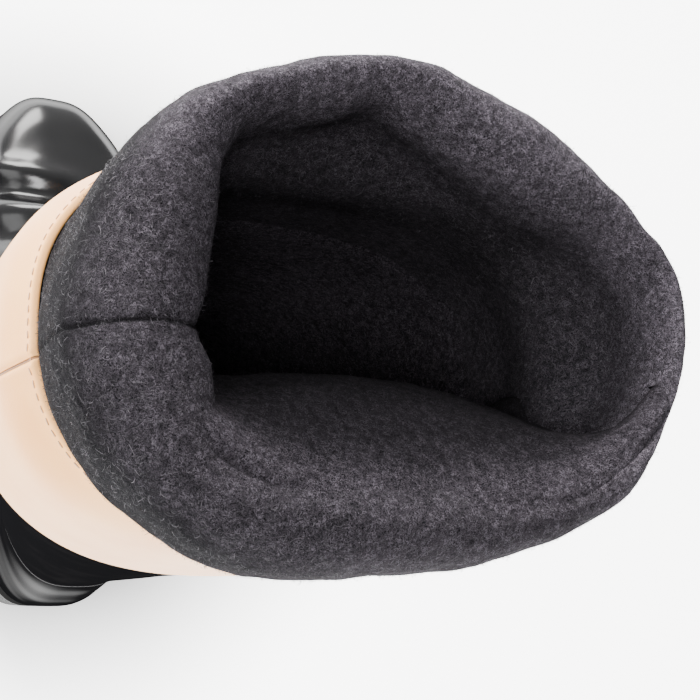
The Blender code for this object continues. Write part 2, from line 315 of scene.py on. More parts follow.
def lumpy(points: Array, layers: tuple[Lump, ...]) -> Array:
    """Returns the sum of some layers of lumps at points in millimetres."""
    return sum(layer.height * lumps(points, layer.size, layer.seed) for layer in layers)


def surface_normals(rings: Array) -> Array:
    """Returns unit normals of a stack of closed rings, outwards where the rings rise."""
    across = (np.roll(rings, -1, axis=1) - np.roll(rings, 1, axis=1)) / 2
    return unit(np.cross(np.gradient(rings, axis=0), across))


@dataclass(frozen=True)
class Last:
    """The boot's own sizes in millimetres, and the rings that follow from them."""

    sole_length: float = 252.0
    ball_width: float = 88.0
    instep_height: float = 100.0
    heel_height: float = 24.0
    leather_top: float = 352.0
    crest_height: float = 390.0
    upper_wall: float = 2.2
    band_wall: float = 1.6
    band_height: float = 40.0
    band_fall: float = 44.0
    ankle_seam: float = 9.0
    felt_wall: float = 5.0
    felt_leg_foot: float = 300.0
    gap: float = 0.3
    collar_y: float = 66.5
    end_crowding: float = 0.14
    seam_turn: float = 1.417
    width_stations: tuple[float, ...] = (0.0, 0.12, 0.42, 0.70, 0.90, 1.0)
    sections: tuple[Section, ...] = table_of(
        Section,
        (0.014, 0.303, 0.984, 0.163, 1.00, 0.79, 0.63, 1.01, 1.04, 0.82, 0.62, 1.00),
        (0.006, 0.38, 0.992, 0.24, 0.95, 0.82, 0.67, 1.04, 1.08, 0.85, 0.62, 1.00),
        (0.003, 0.47, 0.988, 0.32, 0.90, 0.83, 0.69, 1.04, 1.07, 0.85, 0.62, 1.00),
        (0.003, 0.56, 0.968, 0.40, 0.80, 0.82, 0.70, 1.02, 1.03, 0.82, 0.62, 1.00),
        (0.005, 0.64, 0.930, 0.46, 0.65, 0.80, 0.71, 0.98, 0.96, 0.80, 0.63, 1.00),
        (0.008, 0.72, 0.870, 0.50, 0.50, 0.78, 0.72, 0.92, 0.88, 0.77, 0.64, 1.00),
        (0.014, 0.80, 0.798, 0.55, 0.35, 0.77, 0.74, 0.86, 0.82, 0.74, 0.65, 1.00),
        (0.020, 0.88, 0.720, 0.62, 0.20, 0.77, 0.76, 0.82, 0.77, 0.72, 0.66, 1.00),
        (0.028, 0.97, 0.647, 0.72, 0.10, 0.78, 0.79, 0.80, 0.75, 0.72, 0.68, 1.00),
        (0.034, 1.07, 0.579, 0.86, 0.00, 0.82, 0.83, 0.82, 0.77, 0.75, 0.71, 1.00),
        (0.038, 1.18, 0.524, 1.03, 0.00, 0.88, 0.89, 0.87, 0.83, 0.82, 0.76, 1.00),
        (0.040, 1.31, 0.486, 1.24, 0.00, 0.95, 0.96, 0.95, 0.92, 0.91, 0.83, 1.00),
        (0.040, 1.50, 0.464, 1.50, 0.00, 1.04, 1.04, 1.04, 1.03, 1.03, 0.88, 0.98),
        (0.042, 1.80, 0.454, 1.82, 0.00, 1.16, 1.16, 1.16, 1.16, 1.16, 0.90, 0.94),
        (0.046, 2.20, 0.450, 2.21, 0.00, 1.32, 1.32, 1.32, 1.32, 1.32, 0.88, 0.90),
        (0.050, 2.62, 0.448, 2.62, 0.00, 1.47, 1.47, 1.47, 1.47, 1.47, 0.84, 0.85),
        (0.055, 3.00, 0.448, 3.00, 0.00, 1.59, 1.59, 1.59, 1.59, 1.59, 0.79, 0.80),
        (0.060, 3.30, 0.440, 3.30, 0.00, 1.60, 1.60, 1.60, 1.60, 1.60, 0.80, 0.80),
        (0.066, 3.52, 0.431, 3.52, 0.00, 1.50, 1.50, 1.50, 1.50, 1.50, 0.87, 0.87),
    )
    stations: tuple[SoleStation, ...] = table_of(
        SoleStation,
        (0.00, 0.0, 1.00, 6.0), (0.30, 0.0, 1.00, 6.0), (0.40, -1.0, 0.84, 6.2), (0.50, -1.8, 0.42, 6.8),
        (0.58, -2.0, 0.09, 7.6), (0.63, -1.6, 0.00, 8.0), (0.82, 1.5, 0.00, 8.0), (0.91, 4.0, 0.10, 8.0),
        (1.00, 7.0, 0.33, 8.0),
    )

    def sole(self, y: Array, column: str) -> Array:
        """Returns one column of the sole's table at places on Y."""
        along = (self.sole_length / 2 - np.asarray(y, float)) / self.sole_length
        rows = self.stations
        return smooth(along, [row.along for row in rows], [getattr(row, column) for row in rows])

    def sole_top(self, y: Array) -> Array:
        """Returns the height of the outsole's upper side at places on Y."""
        return self.heel_height * self.sole(y, "lift") + self.sole(y, "thickness")

    def section_at(self, place: float) -> Section:
        """Returns the section at a place in the list, between two rows too."""
        rows = list(range(len(self.sections)))
        return Section(*(float(smooth(place, rows, list(column))) for column in zip(*self.sections)))

    def turns(self, columns: int, seam_steps: tuple[float, ...] = ()) -> Array:
        """Places columns round a ring, from the back through the medial side.

        Args:
            columns: Columns spread round the ring.
            seam_steps: Turns on both sides of the seam where closer columns stand.

        Returns:
            Rising turns in radians.
        """
        base = np.linspace(0.0, 2 * math.pi, columns, endpoint=False)
        base = base - self.end_crowding * np.sin(2 * base)
        if not seam_steps:
            return base
        close = self.seam_turn + np.array([-step for step in seam_steps] + [0.0] + list(seam_steps))
        clear = np.abs(base - self.seam_turn) > max(seam_steps) + math.pi / columns
        return np.sort(np.concatenate([base[clear], close]))

    def ring(self, section: Section, turns: Array, margin: float) -> Array:
        """Gives the points of a section's ring.

        Args:
            section: The section.
            turns: Turns round the ring.
            margin: Growth outwards.

        Returns:
            Points of shape (columns, 3).
        """
        half_length = self.sole_length / 2
        back_y = half_length - section.back * self.sole_length + margin
        front_y = half_length - section.front * self.sole_length - margin
        part = (1 - signed_power(np.cos(turns), section.nose)) / 2
        y = back_y + part * (front_y - back_y)
        widths = [section.heel, section.heel, section.waist, section.ball, section.toe, section.tip]
        half = smooth(part, list(self.width_stations), widths) * self.ball_width / 2 + margin
        x = self.sole(y, "swing") + half * signed_power(np.sin(turns), section.flank)
        chord = self.sole_top(back_y) + part * (self.sole_top(front_y) - self.sole_top(back_y))
        rise = section.back_rise + part * (section.front_rise - section.back_rise)
        z = rise * self.instep_height + section.follow * (self.sole_top(y) - chord)
        return np.stack([x, y, z], axis=1)

    def stack(self, places: Array, turns: Array, margins: Array) -> Array:
        """Returns rings at places in the list of sections, each with its own margin."""
        return np.stack([self.ring(self.section_at(at), turns, grow) for at, grow in zip(places, margins)])

    def level_ring(self, height: float, turns: Array, margin: float) -> Array:
        """Gives a level ring of the shaft.

        Args:
            height: Height of the ring.
            turns: Turns round the ring.
            margin: Growth outwards.

        Returns:
            Points of shape (columns, 3).
        """
        heights = [section.back_rise * self.instep_height for section in self.sections]
        place = float(np.interp(height, heights, np.arange(len(heights))))
        for _ in range(LEVEL_TRIES):
            miss = height - self.section_at(place).back_rise * self.instep_height
            place = min(max(place + miss / (heights[-1] - heights[-2]), 0.0), len(heights) - 1.0)
        ring = self.ring(self.section_at(place), turns, margin)
        ring[:, 2] = height
        return ring

    def shaft_point(self, heights: Array, turns: Array, margin: float) -> Array:
        """Gives one point of the shaft for each column, each at its own height.

        Args:
            heights: Heights of the points.
            turns: Turns of the points.
            margin: Growth outwards.

        Returns:
            Points of shape (columns, 3).
        """
        levels = np.linspace(float(heights.min()), float(heights.max()), SHAFT_LEVELS)
        if np.ptp(levels) < TINY:
            return self.level_ring(float(levels[0]), turns, margin)
        stack = np.stack([self.level_ring(float(level), turns, margin) for level in levels])
        plan = [smooth_columns(heights, levels, stack[:, :, axis]) for axis in (0, 1)]
        return np.column_stack([*plan, heights])

    def seam_distance(self, rings: Array, turns: Array) -> Array:
        """Gives how far each point of a stack of rings is from the medial seam, along its ring.

        Args:
            rings: Points of shape (rings, columns, 3).
            turns: Turns of the columns.

        Returns:
            Signed distances in millimetres of shape (rings, columns).
        """
        run = running(np.linalg.norm(np.diff(rings, axis=1), axis=2))
        seam = np.array([np.interp(self.seam_turn, turns, row) for row in run])
        return run - seam[:, None]


LAST = Last()


class Wire:
    """A value on a shader socket, with the arithmetic that joins it to others."""

    def __init__(self, shading: "Shading", socket: bpy.types.NodeSocket) -> None:
        """Keeps the socket and the shading that it belongs to."""
        self.shading = shading
        self.socket = socket

    def math(self, operation: str, first: "Wire | float", second: "Wire | float" = 0.0) -> "Wire":
        """Returns a Math node's result on two values."""
        return self.shading.node("ShaderNodeMath", {"operation": operation}, {0: first, 1: second})

    def __add__(self, other: "Wire | float") -> "Wire":
        """Returns the sum."""
        return self.math("ADD", self, other)

    def __sub__(self, other: "Wire | float") -> "Wire":
        """Returns the difference."""
        return self.math("SUBTRACT", self, other)

    def __rsub__(self, other: "Wire | float") -> "Wire":
        """Returns the difference from another value."""
        return self.math("SUBTRACT", other, self)

    def __mul__(self, other: "Wire | float") -> "Wire":
        """Returns the product."""
        return self.math("MULTIPLY", self, other)

    __rmul__ = __mul__

    def __abs__(self) -> "Wire":
        """Returns the size without the sign."""
        return self.math("ABSOLUTE", self)

    def fade(self, span: Span) -> "Wire":
        """Returns a soft step from 0 at the span's start to 1 at its end."""
        settings = {"interpolation_type": "SMOOTHSTEP"}
        return self.shading.node("ShaderNodeMapRange", settings, {0: self, 1: span.start, 2: span.end})


class Shading:
    """A tree of shader nodes that grows by one node at a time."""

    def __init__(self, tree: bpy.types.NodeTree) -> None:
        """Keeps the tree."""
        self.tree = tree

    def node(
        self,
        kind: str,
        settings: dict[str, object],
        inputs: dict[str | int, object],
        output: str | int = 0,
    ) -> Wire:
        """Adds a node.

        Args:
            kind: The node's type.
            settings: Properties, set first.
            inputs: Values or wires for its sockets, by name or number.
            output: The socket that is returned.

        Returns:
            A wire on the output socket.
        """
        made = self.tree.nodes.new(kind)
        for key, value in settings.items():
            setattr(made, key, value)
        for key, value in inputs.items():
            self.feed(made.inputs[key], value)
        return Wire(self, made.outputs[output])

    def feed(self, socket: bpy.types.NodeSocket, value: object) -> None:
        """Links a wire to a socket, or sets a plain value on it.

        Args:
            socket: The socket.
            value: A wire, a number, a vector, or a colour without its alpha.
        """
        if isinstance(value, Wire):
            self.tree.links.new(value.socket, socket)
        elif isinstance(value, tuple) and socket.type == "RGBA":
            socket.default_value = (*value, 1.0)
        else:
            socket.default_value = value


class Paint(Shading):
    """One procedural material and the patterns that it is made of."""

    def __init__(self, name: str) -> None:
        """Makes the material with its Principled shader."""
        self.material = bpy.data.materials.new(name)
        self.material.use_nodes = True
        super().__init__(self.material.node_tree)
        self.shader = self.tree.nodes["Principled BSDF"]
        self.place = self.node("ShaderNodeTexCoord", {}, {}, "Object")

    def dress(self, **values: object) -> bpy.types.Material:
        """Sets the shader's sockets, named with underscores for blanks, and returns the material."""
        for key, value in values.items():
            self.feed(self.shader.inputs[key.replace("_", " ").title().replace("Ior", "IOR")], value)
        return self.material

    def noise(self, grain: Grain) -> Wire:
        """Returns a noise pattern with some settings."""
        inputs = {"Vector": self.place, "Scale": 1 / (grain.size * MM), "Detail": grain.detail}
        inputs.update({"Roughness": grain.roughness, "Distortion": grain.distortion})
        return self.node("ShaderNodeTexNoise", {}, inputs)

    def cells(self, size: float) -> Wire:
        """Returns the distance to the middle of cells of a size in millimetres."""
        inputs = {"Vector": self.place, "Scale": 1 / (size * MM)}
        return self.node("ShaderNodeTexVoronoi", {"feature": "F1"}, inputs, "Distance")

    def attribute(self, name: str) -> Wire:
        """Returns a mesh attribute."""
        return self.node("ShaderNodeAttribute", {"attribute_name": name}, {}, "Fac")

    def mix(self, factor: Wire, first: "Colour | Wire", second: "Colour | Wire") -> Wire:
        """Returns a colour between two colours."""
        return self.node("ShaderNodeMix", {"data_type": "RGBA"}, {0: factor, 6: first, 7: second}, 2)

    def bump(self, height: Wire, depth: float, below: "Wire | None" = None) -> Wire:
        """Returns a normal bumped by a height of a depth in millimetres, on top of another normal."""
        inputs: dict[str | int, object] = {"Height": height, "Strength": 1.0, "Distance": depth * MM}
        if below is not None:
            inputs["Normal"] = below
        return self.node("ShaderNodeBump", {}, inputs)


@dataclass(frozen=True)
class FeltFinish:
    """Charcoal felt of short matted fibres with a faint violet cast."""

    name: str = "charcoal_felt_nap"
    deep: Colour = (0.0060, 0.0053, 0.0064)
    pale: Colour = (0.114, 0.099, 0.118)
    fleck: Colour = (0.340, 0.300, 0.355)
    drift: Grain = Grain(14.0)
    tufts: Grain = Grain(2.0, 3.0, 0.6, 0.6)
    grain: Grain = Grain(0.34, 2.0, 0.6, 1.0)
    curls: Grain = Grain(0.95, 2.0, 0.55, 1.4)
    fine: Grain = Grain(0.55, 2.0, 0.55, 1.4)
    grain_step: Span = Span(0.40, 0.62)
    curl_width: float = 0.055
    fine_width: float = 0.065
    line_core: float = 0.3
    grain_shade: float = 0.60
    fine_shade: float = 0.50
    drift_shade: float = 0.5
    tuft_shade: float = 0.5
    fleck_step: Span = Span(0.30, 0.65)
    fleck_share: float = 0.70
    tuft_depth: float = 0.7
    grain_nap: float = 0.6
    curl_nap: float = 0.5
    fine_nap: float = 0.4
    nap_depth: float = 0.26
    roughness: float = 0.96
    sheen: float = 0.035
    sheen_roughness: float = 0.55
    sheen_tint: Colour = (0.80, 0.76, 0.84)
    specular: float = 0.03

    def lines(self, paint: Paint, grain: Grain, width: float) -> Wire:
        """Returns thin curled lines, as of single fibres, along a noise's middle values."""
        return abs(paint.noise(grain) - NOISE_MIDDLE).fade(Span(width, width * self.line_core))

    def material(self) -> bpy.types.Material:
        """Returns the felt with its drifts, grain, curled fibres, nap and the painted shade of each point."""
        paint = Paint(self.name)
        drift = paint.noise(self.drift)
        tufts = paint.noise(self.tufts)
        grain = paint.noise(self.grain).fade(self.grain_step)
        curls = self.lines(paint, self.curls, self.curl_width)
        fine = self.lines(paint, self.fine, self.fine_width)
        shade = grain * self.grain_shade + fine * self.fine_shade
        shade = shade + (drift - NOISE_MIDDLE) * self.drift_shade + (tufts - NOISE_MIDDLE) * self.tuft_shade
        colour = paint.mix(shade, self.deep, self.pale)
        colour = paint.mix(curls * tufts.fade(self.fleck_step) * self.fleck_share, colour, self.fleck)
        # Painted shade: the "dim" attribute darkens the felt towards black where shade falls on it.
        colour = paint.mix(paint.attribute("dim"), colour, BLACK)
        nap = grain * self.grain_nap + curls * self.curl_nap + fine * self.fine_nap
        return paint.dress(
            base_color=colour,
            roughness=self.roughness,
            normal=paint.bump(nap, self.nap_depth, paint.bump(tufts, self.tuft_depth)),
            sheen_weight=self.sheen,
            sheen_roughness=self.sheen_roughness,
            sheen_tint=self.sheen_tint,
            specular_ior_level=self.specular,
        )


@dataclass(frozen=True)
class FibreFinish:
    """Loose fibres standing on the felt, each with its own shade."""

    name: str = "felt_fibres"
    dark: Colour = (0.012, 0.011, 0.013)
    light: Colour = (0.120, 0.110, 0.124)
    roughness: float = 0.70
    specular: float = 0.25

    def material(self) -> bpy.types.Material:
        """Returns the fibres' material, from the shade of each fibre."""
        paint = Paint(self.name)
        shade = paint.attribute("shade")
        return paint.dress(
            base_color=paint.mix(shade * shade, self.dark, self.light),
            roughness=self.roughness,
            specular_ior_level=self.specular,
        )


@dataclass(frozen=True)
class TanFinish:
    """Smooth tan leather with a fine grain, a dark sewn seam and a pale cut edge."""

    name: str = "tan_leather_grain"
    light: Colour = (0.90, 0.43, 0.105)
    deep: Colour = (0.84, 0.36, 0.080)
    seam: Colour = (0.13, 0.055, 0.025)
    cut: Colour = (0.80, 0.40, 0.14)
    drift: Grain = Grain(22.0, 3.0, 0.5)
    pores: Grain = Grain(0.30)
    cell_size: float = 0.55
    drift_step: Span = Span(0.32, 0.70)
    cell_step: Span = Span(0.30, 0.55)
    cell_share: float = 0.16
    seam_step: Span = Span(0.42, 0.14)
    seam_share: float = 0.85
    seam_depth: float = 0.5
    cell_relief: float = 0.6
    pore_relief: float = 0.4
    relief_depth: float = 0.05
    roughness: float = 0.31
    drift_roughness: float = 0.10
    edge_roughness: float = 0.4
    coat: float = 0.05
    gloss: float = 0.22
    specular: float = 0.16

    def material(self) -> bpy.types.Material:
        """Returns the leather with its grain, seam and edge."""
        paint = Paint(self.name)
        drift = paint.noise(self.drift)
        grain = paint.cells(self.cell_size)
        pores = paint.noise(self.pores)
        seam = abs(paint.attribute("seam")).fade(self.seam_step)
        edge = paint.attribute("edge")
        colour = paint.mix(drift.fade(self.drift_step), self.light, self.deep)
        colour = paint.mix(grain.fade(self.cell_step) * self.cell_share, colour, self.deep)
        colour = paint.mix(edge, colour, self.cut)
        colour = paint.mix(seam * self.seam_share, colour, self.seam)
        relief = paint.bump(grain * self.cell_relief + pores * self.pore_relief, self.relief_depth)
        return paint.dress(
            base_color=colour,
            roughness=drift * self.drift_roughness + edge * self.edge_roughness + self.roughness,
            normal=paint.bump(1.0 - seam, self.seam_depth, relief),
            coat_weight=self.coat,
            coat_roughness=self.gloss,
            specular_ior_level=self.specular,
        )


@dataclass(frozen=True)
class BlackFinish:
    """Black leather with a fine grain, softer in its creases: polished on the foot, satin on the shaft."""

    name: str = "black_leather_polish"
    colour: Colour = (0.0036, 0.0036, 0.0040)
    worn: Colour = (0.0068, 0.0065, 0.0068)
    drift: Grain = Grain(18.0)
    pores: Grain = Grain(0.35)
    cell_size: float = 0.75
    worn_step: Span = Span(0.45, 0.75)
    worn_drift: float = 0.6
    worn_crease: float = 0.4
    seam_step: Span = Span(0.60, 0.20)
    seam_depth: float = 0.6
    cell_relief: float = 0.7
    pore_relief: float = 0.3
    relief_depth: float = 0.035
    roughness: float = 0.28
    drift_roughness: float = 0.12
    crease_roughness: float = 0.18
    coat: float = 0.60
    gloss: float = 0.20
    specular: float = 0.0
    facing_blend: float = 0.5
    rim_step: Span = Span(0.55, 0.85)

    def material(self) -> bpy.types.Material:
        """Returns the leather with its grain, seam and a polish that fades at grazing angles."""
        paint = Paint(self.name)
        drift = paint.noise(self.drift)
        grain = paint.cells(self.cell_size)
        pores = paint.noise(self.pores)
        crease = paint.attribute("crease")
        seam = abs(paint.attribute("seam")).fade(self.seam_step)
        wear = drift.fade(self.worn_step) * self.worn_drift + crease * self.worn_crease
        relief = paint.bump(grain * self.cell_relief + pores * self.pore_relief, self.relief_depth)
        facing = paint.node("ShaderNodeLayerWeight", {}, {"Blend": self.facing_blend}, "Facing")
        return paint.dress(
            base_color=paint.mix(wear, self.colour, self.worn),
            roughness=drift * self.drift_roughness + crease * self.crease_roughness + self.roughness,
            normal=paint.bump(1.0 - seam, self.seam_depth, relief),
            coat_weight=self.coat * (1.0 - facing.fade(self.rim_step)),
            coat_roughness=self.gloss,
            specular_ior_level=self.specular,
        )


@dataclass(frozen=True)
class MottledFinish:
    """A matte material with a mottle in its colour and roughness, and fine pits."""

    name: str
    colour: Colour
    light: Colour
    mottle: Grain
    pits: Grain
    mottle_step: Span
    mottle_share: float
    mottle_roughness: float
    roughness: float
    pit_depth: float

    def material(self) -> bpy.types.Material:
        """Returns the material with its mottle and pits."""
        paint = Paint(self.name)
        mottle = paint.noise(self.mottle)
        return paint.dress(
            base_color=paint.mix(mottle.fade(self.mottle_step) * self.mottle_share, self.colour, self.light),
            roughness=mottle * self.mottle_roughness + self.roughness,
            normal=paint.bump(paint.noise(self.pits), self.pit_depth),
        )


SCUFFED_RUBBER = MottledFinish(
    name="black_rubber_moulded",
    colour=(0.007, 0.007, 0.007),
    light=(0.018, 0.017, 0.017),
    mottle=Grain(9.0, 5.0, 0.65, 0.8),
    pits=Grain(0.5, 4.0),
    mottle_step=Span(0.55, 0.75),
    mottle_share=0.7,
    mottle_roughness=0.20,
    roughness=0.50,
    pit_depth=0.06,
)
TWISTED_THREAD = MottledFinish(
    name="tan_thread",
    colour=(0.40, 0.215, 0.115),
    light=(0.56, 0.33, 0.19),
    mottle=Grain(0.25, 3.0, 0.6, 0.5),
    pits=Grain(0.25, 3.0, 0.6, 0.5),
    mottle_step=Span(0.35, 0.65),
    mottle_share=1.0,
    mottle_roughness=0.0,
    roughness=0.62,
    pit_depth=0.08,
)


@dataclass(frozen=True)
class FloorFinish:
    """Plain pale studio floor that glows a little way off from the boot."""

    name: str = "pale_floor"
    colour: Colour = (0.93, 0.93, 0.93)
    dull: Colour = (0.90, 0.90, 0.90)
    drift: Grain = Grain(400.0, 2.0)
    drift_share: float = 0.2
    roughness: float = 0.85
    specular: float = 0.1
    glow_step: Span = Span(0.10, 0.22)
    glow: float = 6.0

    def material(self) -> bpy.types.Material:
        """Returns the floor with a trace of unevenness."""
        paint = Paint(self.name)
        away = paint.node("ShaderNodeVectorMath", {"operation": "LENGTH"}, {0: paint.place}, "Value")
        return paint.dress(
            base_color=paint.mix(paint.noise(self.drift) * self.drift_share, self.colour, self.dull),
            roughness=self.roughness,
            specular_ior_level=self.specular,
            # Painted light: the floor glows away from the boot and is left unlit near it.
            emission_color=paint.mix(away.fade(self.glow_step), BLACK, WHITE),
            emission_strength=self.glow,
        )


def select_only(made: bpy.types.Object) -> None:
    """Leaves one object selected and active."""
    bpy.ops.object.select_all(action="DESELECT")
    made.select_set(True)
    bpy.context.view_layer.objects.active = made


def in_edit(made: bpy.types.Object, work: Callable[[], None]) -> None:
    """Runs some edit-mode operators on all of an object.

    Args:
        made: The object.
        work: Calls the operators.
    """
    select_only(made)
    bpy.ops.object.mode_set(mode="EDIT")
    bpy.ops.mesh.select_all(action="SELECT")
    work()
    bpy.ops.object.mode_set(mode="OBJECT")


def close_and_face_out() -> None:
    """Merges the meeting edges of the mesh in edit mode and turns its faces outwards."""
    bpy.ops.mesh.remove_doubles(threshold=MERGE_REACH)
    bpy.ops.mesh.normals_make_consistent(inside=False)


def add_object(name: str, data: bpy.types.ID) -> bpy.types.Object:
    """Adds an object with some data to the scene and returns it."""
    made = bpy.data.objects.new(name, data)
    bpy.context.scene.collection.objects.link(made)
    return made


def wrap_grid(name: str, rings: Array, closed: bool, marks: dict[str, Array]) -> bpy.types.Object:
    """Wraps a grid primitive round a stack of closed rings.

    Args:
        name: Name of the piece.
        rings: Points in millimetres of shape (rings, columns, 3).
        closed: Whether the last ring joins the first.
        marks: Values for the points, by attribute name, of shape (rings, columns).

    Returns:
        The object, at the origin.
    """
    def around(values: Array) -> Array:
        """Repeats the first column, and the first ring where closed, at the end."""
        values = np.concatenate([values, values[:, :1]], axis=1)
        return np.concatenate([values, values[:1]], axis=0) if closed else values

    places = around(rings)
    rows, columns = places.shape[:2]
    bpy.ops.object.select_all(action="DESELECT")
    bpy.ops.mesh.primitive_grid_add(x_subdivisions=columns - 1, y_subdivisions=rows - 1, size=2.0)
    made = bpy.context.object
    made.name = name
    made.data.name = name
    flat = np.empty(len(made.data.vertices) * 3)
    made.data.vertices.foreach_get("co", flat)
    flat = flat.reshape(-1, 3)
    column = np.rint((flat[:, 0] + 1) / 2 * (columns - 1)).astype(int)
    row = np.rint((flat[:, 1] + 1) / 2 * (rows - 1)).astype(int)
    made.data.vertices.foreach_set("co", (places[row, column] * MM).ravel())
    for mark, values in marks.items():
        layer = made.data.attributes.new(mark, "FLOAT", "POINT")
        layer.data.foreach_set("value", around(values)[row, column].astype(np.float32))
    made.data.update()
    in_edit(made, close_and_face_out)
    bpy.ops.object.shade_smooth()
    return made


def mesh_from_arrays(name: str, points: Array, faces: Array) -> bpy.types.Object:
    """Makes an object of many small repeats.

    Args:
        name: Name of the piece.
        points: Points in millimetres of shape (points, 3).
        faces: Vertex numbers of shape (faces, corners).

    Returns:
        The object, at the origin.
    """
    mesh = bpy.data.meshes.new(name)
    mesh.from_pydata((points * MM).tolist(), [], faces.tolist())
    return add_object(name, mesh)


def place(made: bpy.types.Object, material: bpy.types.Material, slot: Slot, *nodes: Node) -> bpy.types.Object:
    """Dresses a piece and ties it to the frame.

    Args:
        made: The piece.
        material: Its material.
        slot: The record's slot that it is listed under; not used.
        nodes: CAD nodes that it stands for.

    Returns:
        The piece.
    """
    made.data.materials.clear()
    made.data.materials.append(material)
    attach(made, BODY)
    if nodes:
        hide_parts(*(node.value for node in nodes))
    log.info("%s: %d faces", made.name, len(made.data.polygons))
    return made


@dataclass(frozen=True)
class FibreShape:
    """How loose fibres vary, in millimetres, and how they run from root to tip."""

    clear: float = 0.02
    curl: float = 0.9
    bend: float = 0.5
    length: tuple[float, float] = (3.0, 0.32)
    shortest: float = 0.35
    lift: tuple[float, float] = (2.0, 0.14)
    breadth: tuple[float, float] = (0.022, 0.045)
    rises: tuple[float, ...] = (0.0, 0.8, 1.0, 0.55)
    tip: float = 0.4
    shade_power: float = 1.6


FIBRE = FibreShape()


def scatter_fibres(name: str, skin: Array, count: int, seed: int) -> bpy.types.Object:
    """Makes short curled fibres that stand on a felt skin.

    Args:
        name: Name of the piece.
        skin: Points of shape (rows, columns, 3), its outer side where across x along points.
        count: How many fibres.
        seed: Picks their places and shapes.

    Returns:
        The fibres as one object, each with its own shade.
    """
    random = np.random.default_rng(seed)
    here = skin[:-1, :-1]
    along = skin[1:, :-1] - here
    across = skin[:-1, 1:] - here
    facing = np.cross(across, along)
    weight = np.linalg.norm(facing, axis=2).ravel()
    cell = random.choice(weight.size, count, p=weight / weight.sum())
    here, along, across, facing = (values.reshape(-1, 3)[cell] for values in (here, along, across, facing))
    u, v = random.random((2, count, 1))
    normal = unit(facing)
    first = unit(across)
    second = np.cross(normal, first)
    angle = random.random((count, 1)) * 2 * math.pi
    curl = random.normal(0.0, FIBRE.curl, (count, 1))
    length = random.gamma(*FIBRE.length, (count, 1)) + FIBRE.shortest
    lift = random.gamma(*FIBRE.lift, (count, 1))
    breadth = random.uniform(*FIBRE.breadth, (count, 1))
    segments = len(FIBRE.rises) - 1
    points = []
    spot = here + u * along + v * across + normal * FIBRE.clear
    for step, rise in enumerate(FIBRE.rises):
        heading = angle + curl * step * FIBRE.bend
        way = np.cos(heading) * first + np.sin(heading) * second
        if step:
            spot = spot + way * length / segments
        side = np.cross(normal, way) * breadth * (1.0 if step < segments else FIBRE.tip)
        raised = spot + normal * lift * rise
        points += [raised - side, raised + side]
    corners = len(points)
    quads = np.array([0, 1, 3, 2]) + 2 * np.arange(segments)[:, None]
    faces = (np.arange(count)[:, None, None] * corners + quads[None]).reshape(-1, 4)
    made = mesh_from_arrays(name, np.stack(points, axis=1).reshape(-1, 3), faces)
    shade = np.repeat(random.random(count) ** FIBRE.shade_power, corners)
    made.data.attributes.new("shade", "FLOAT", "POINT").data.foreach_set("value", shade.astype(np.float32))
    return made


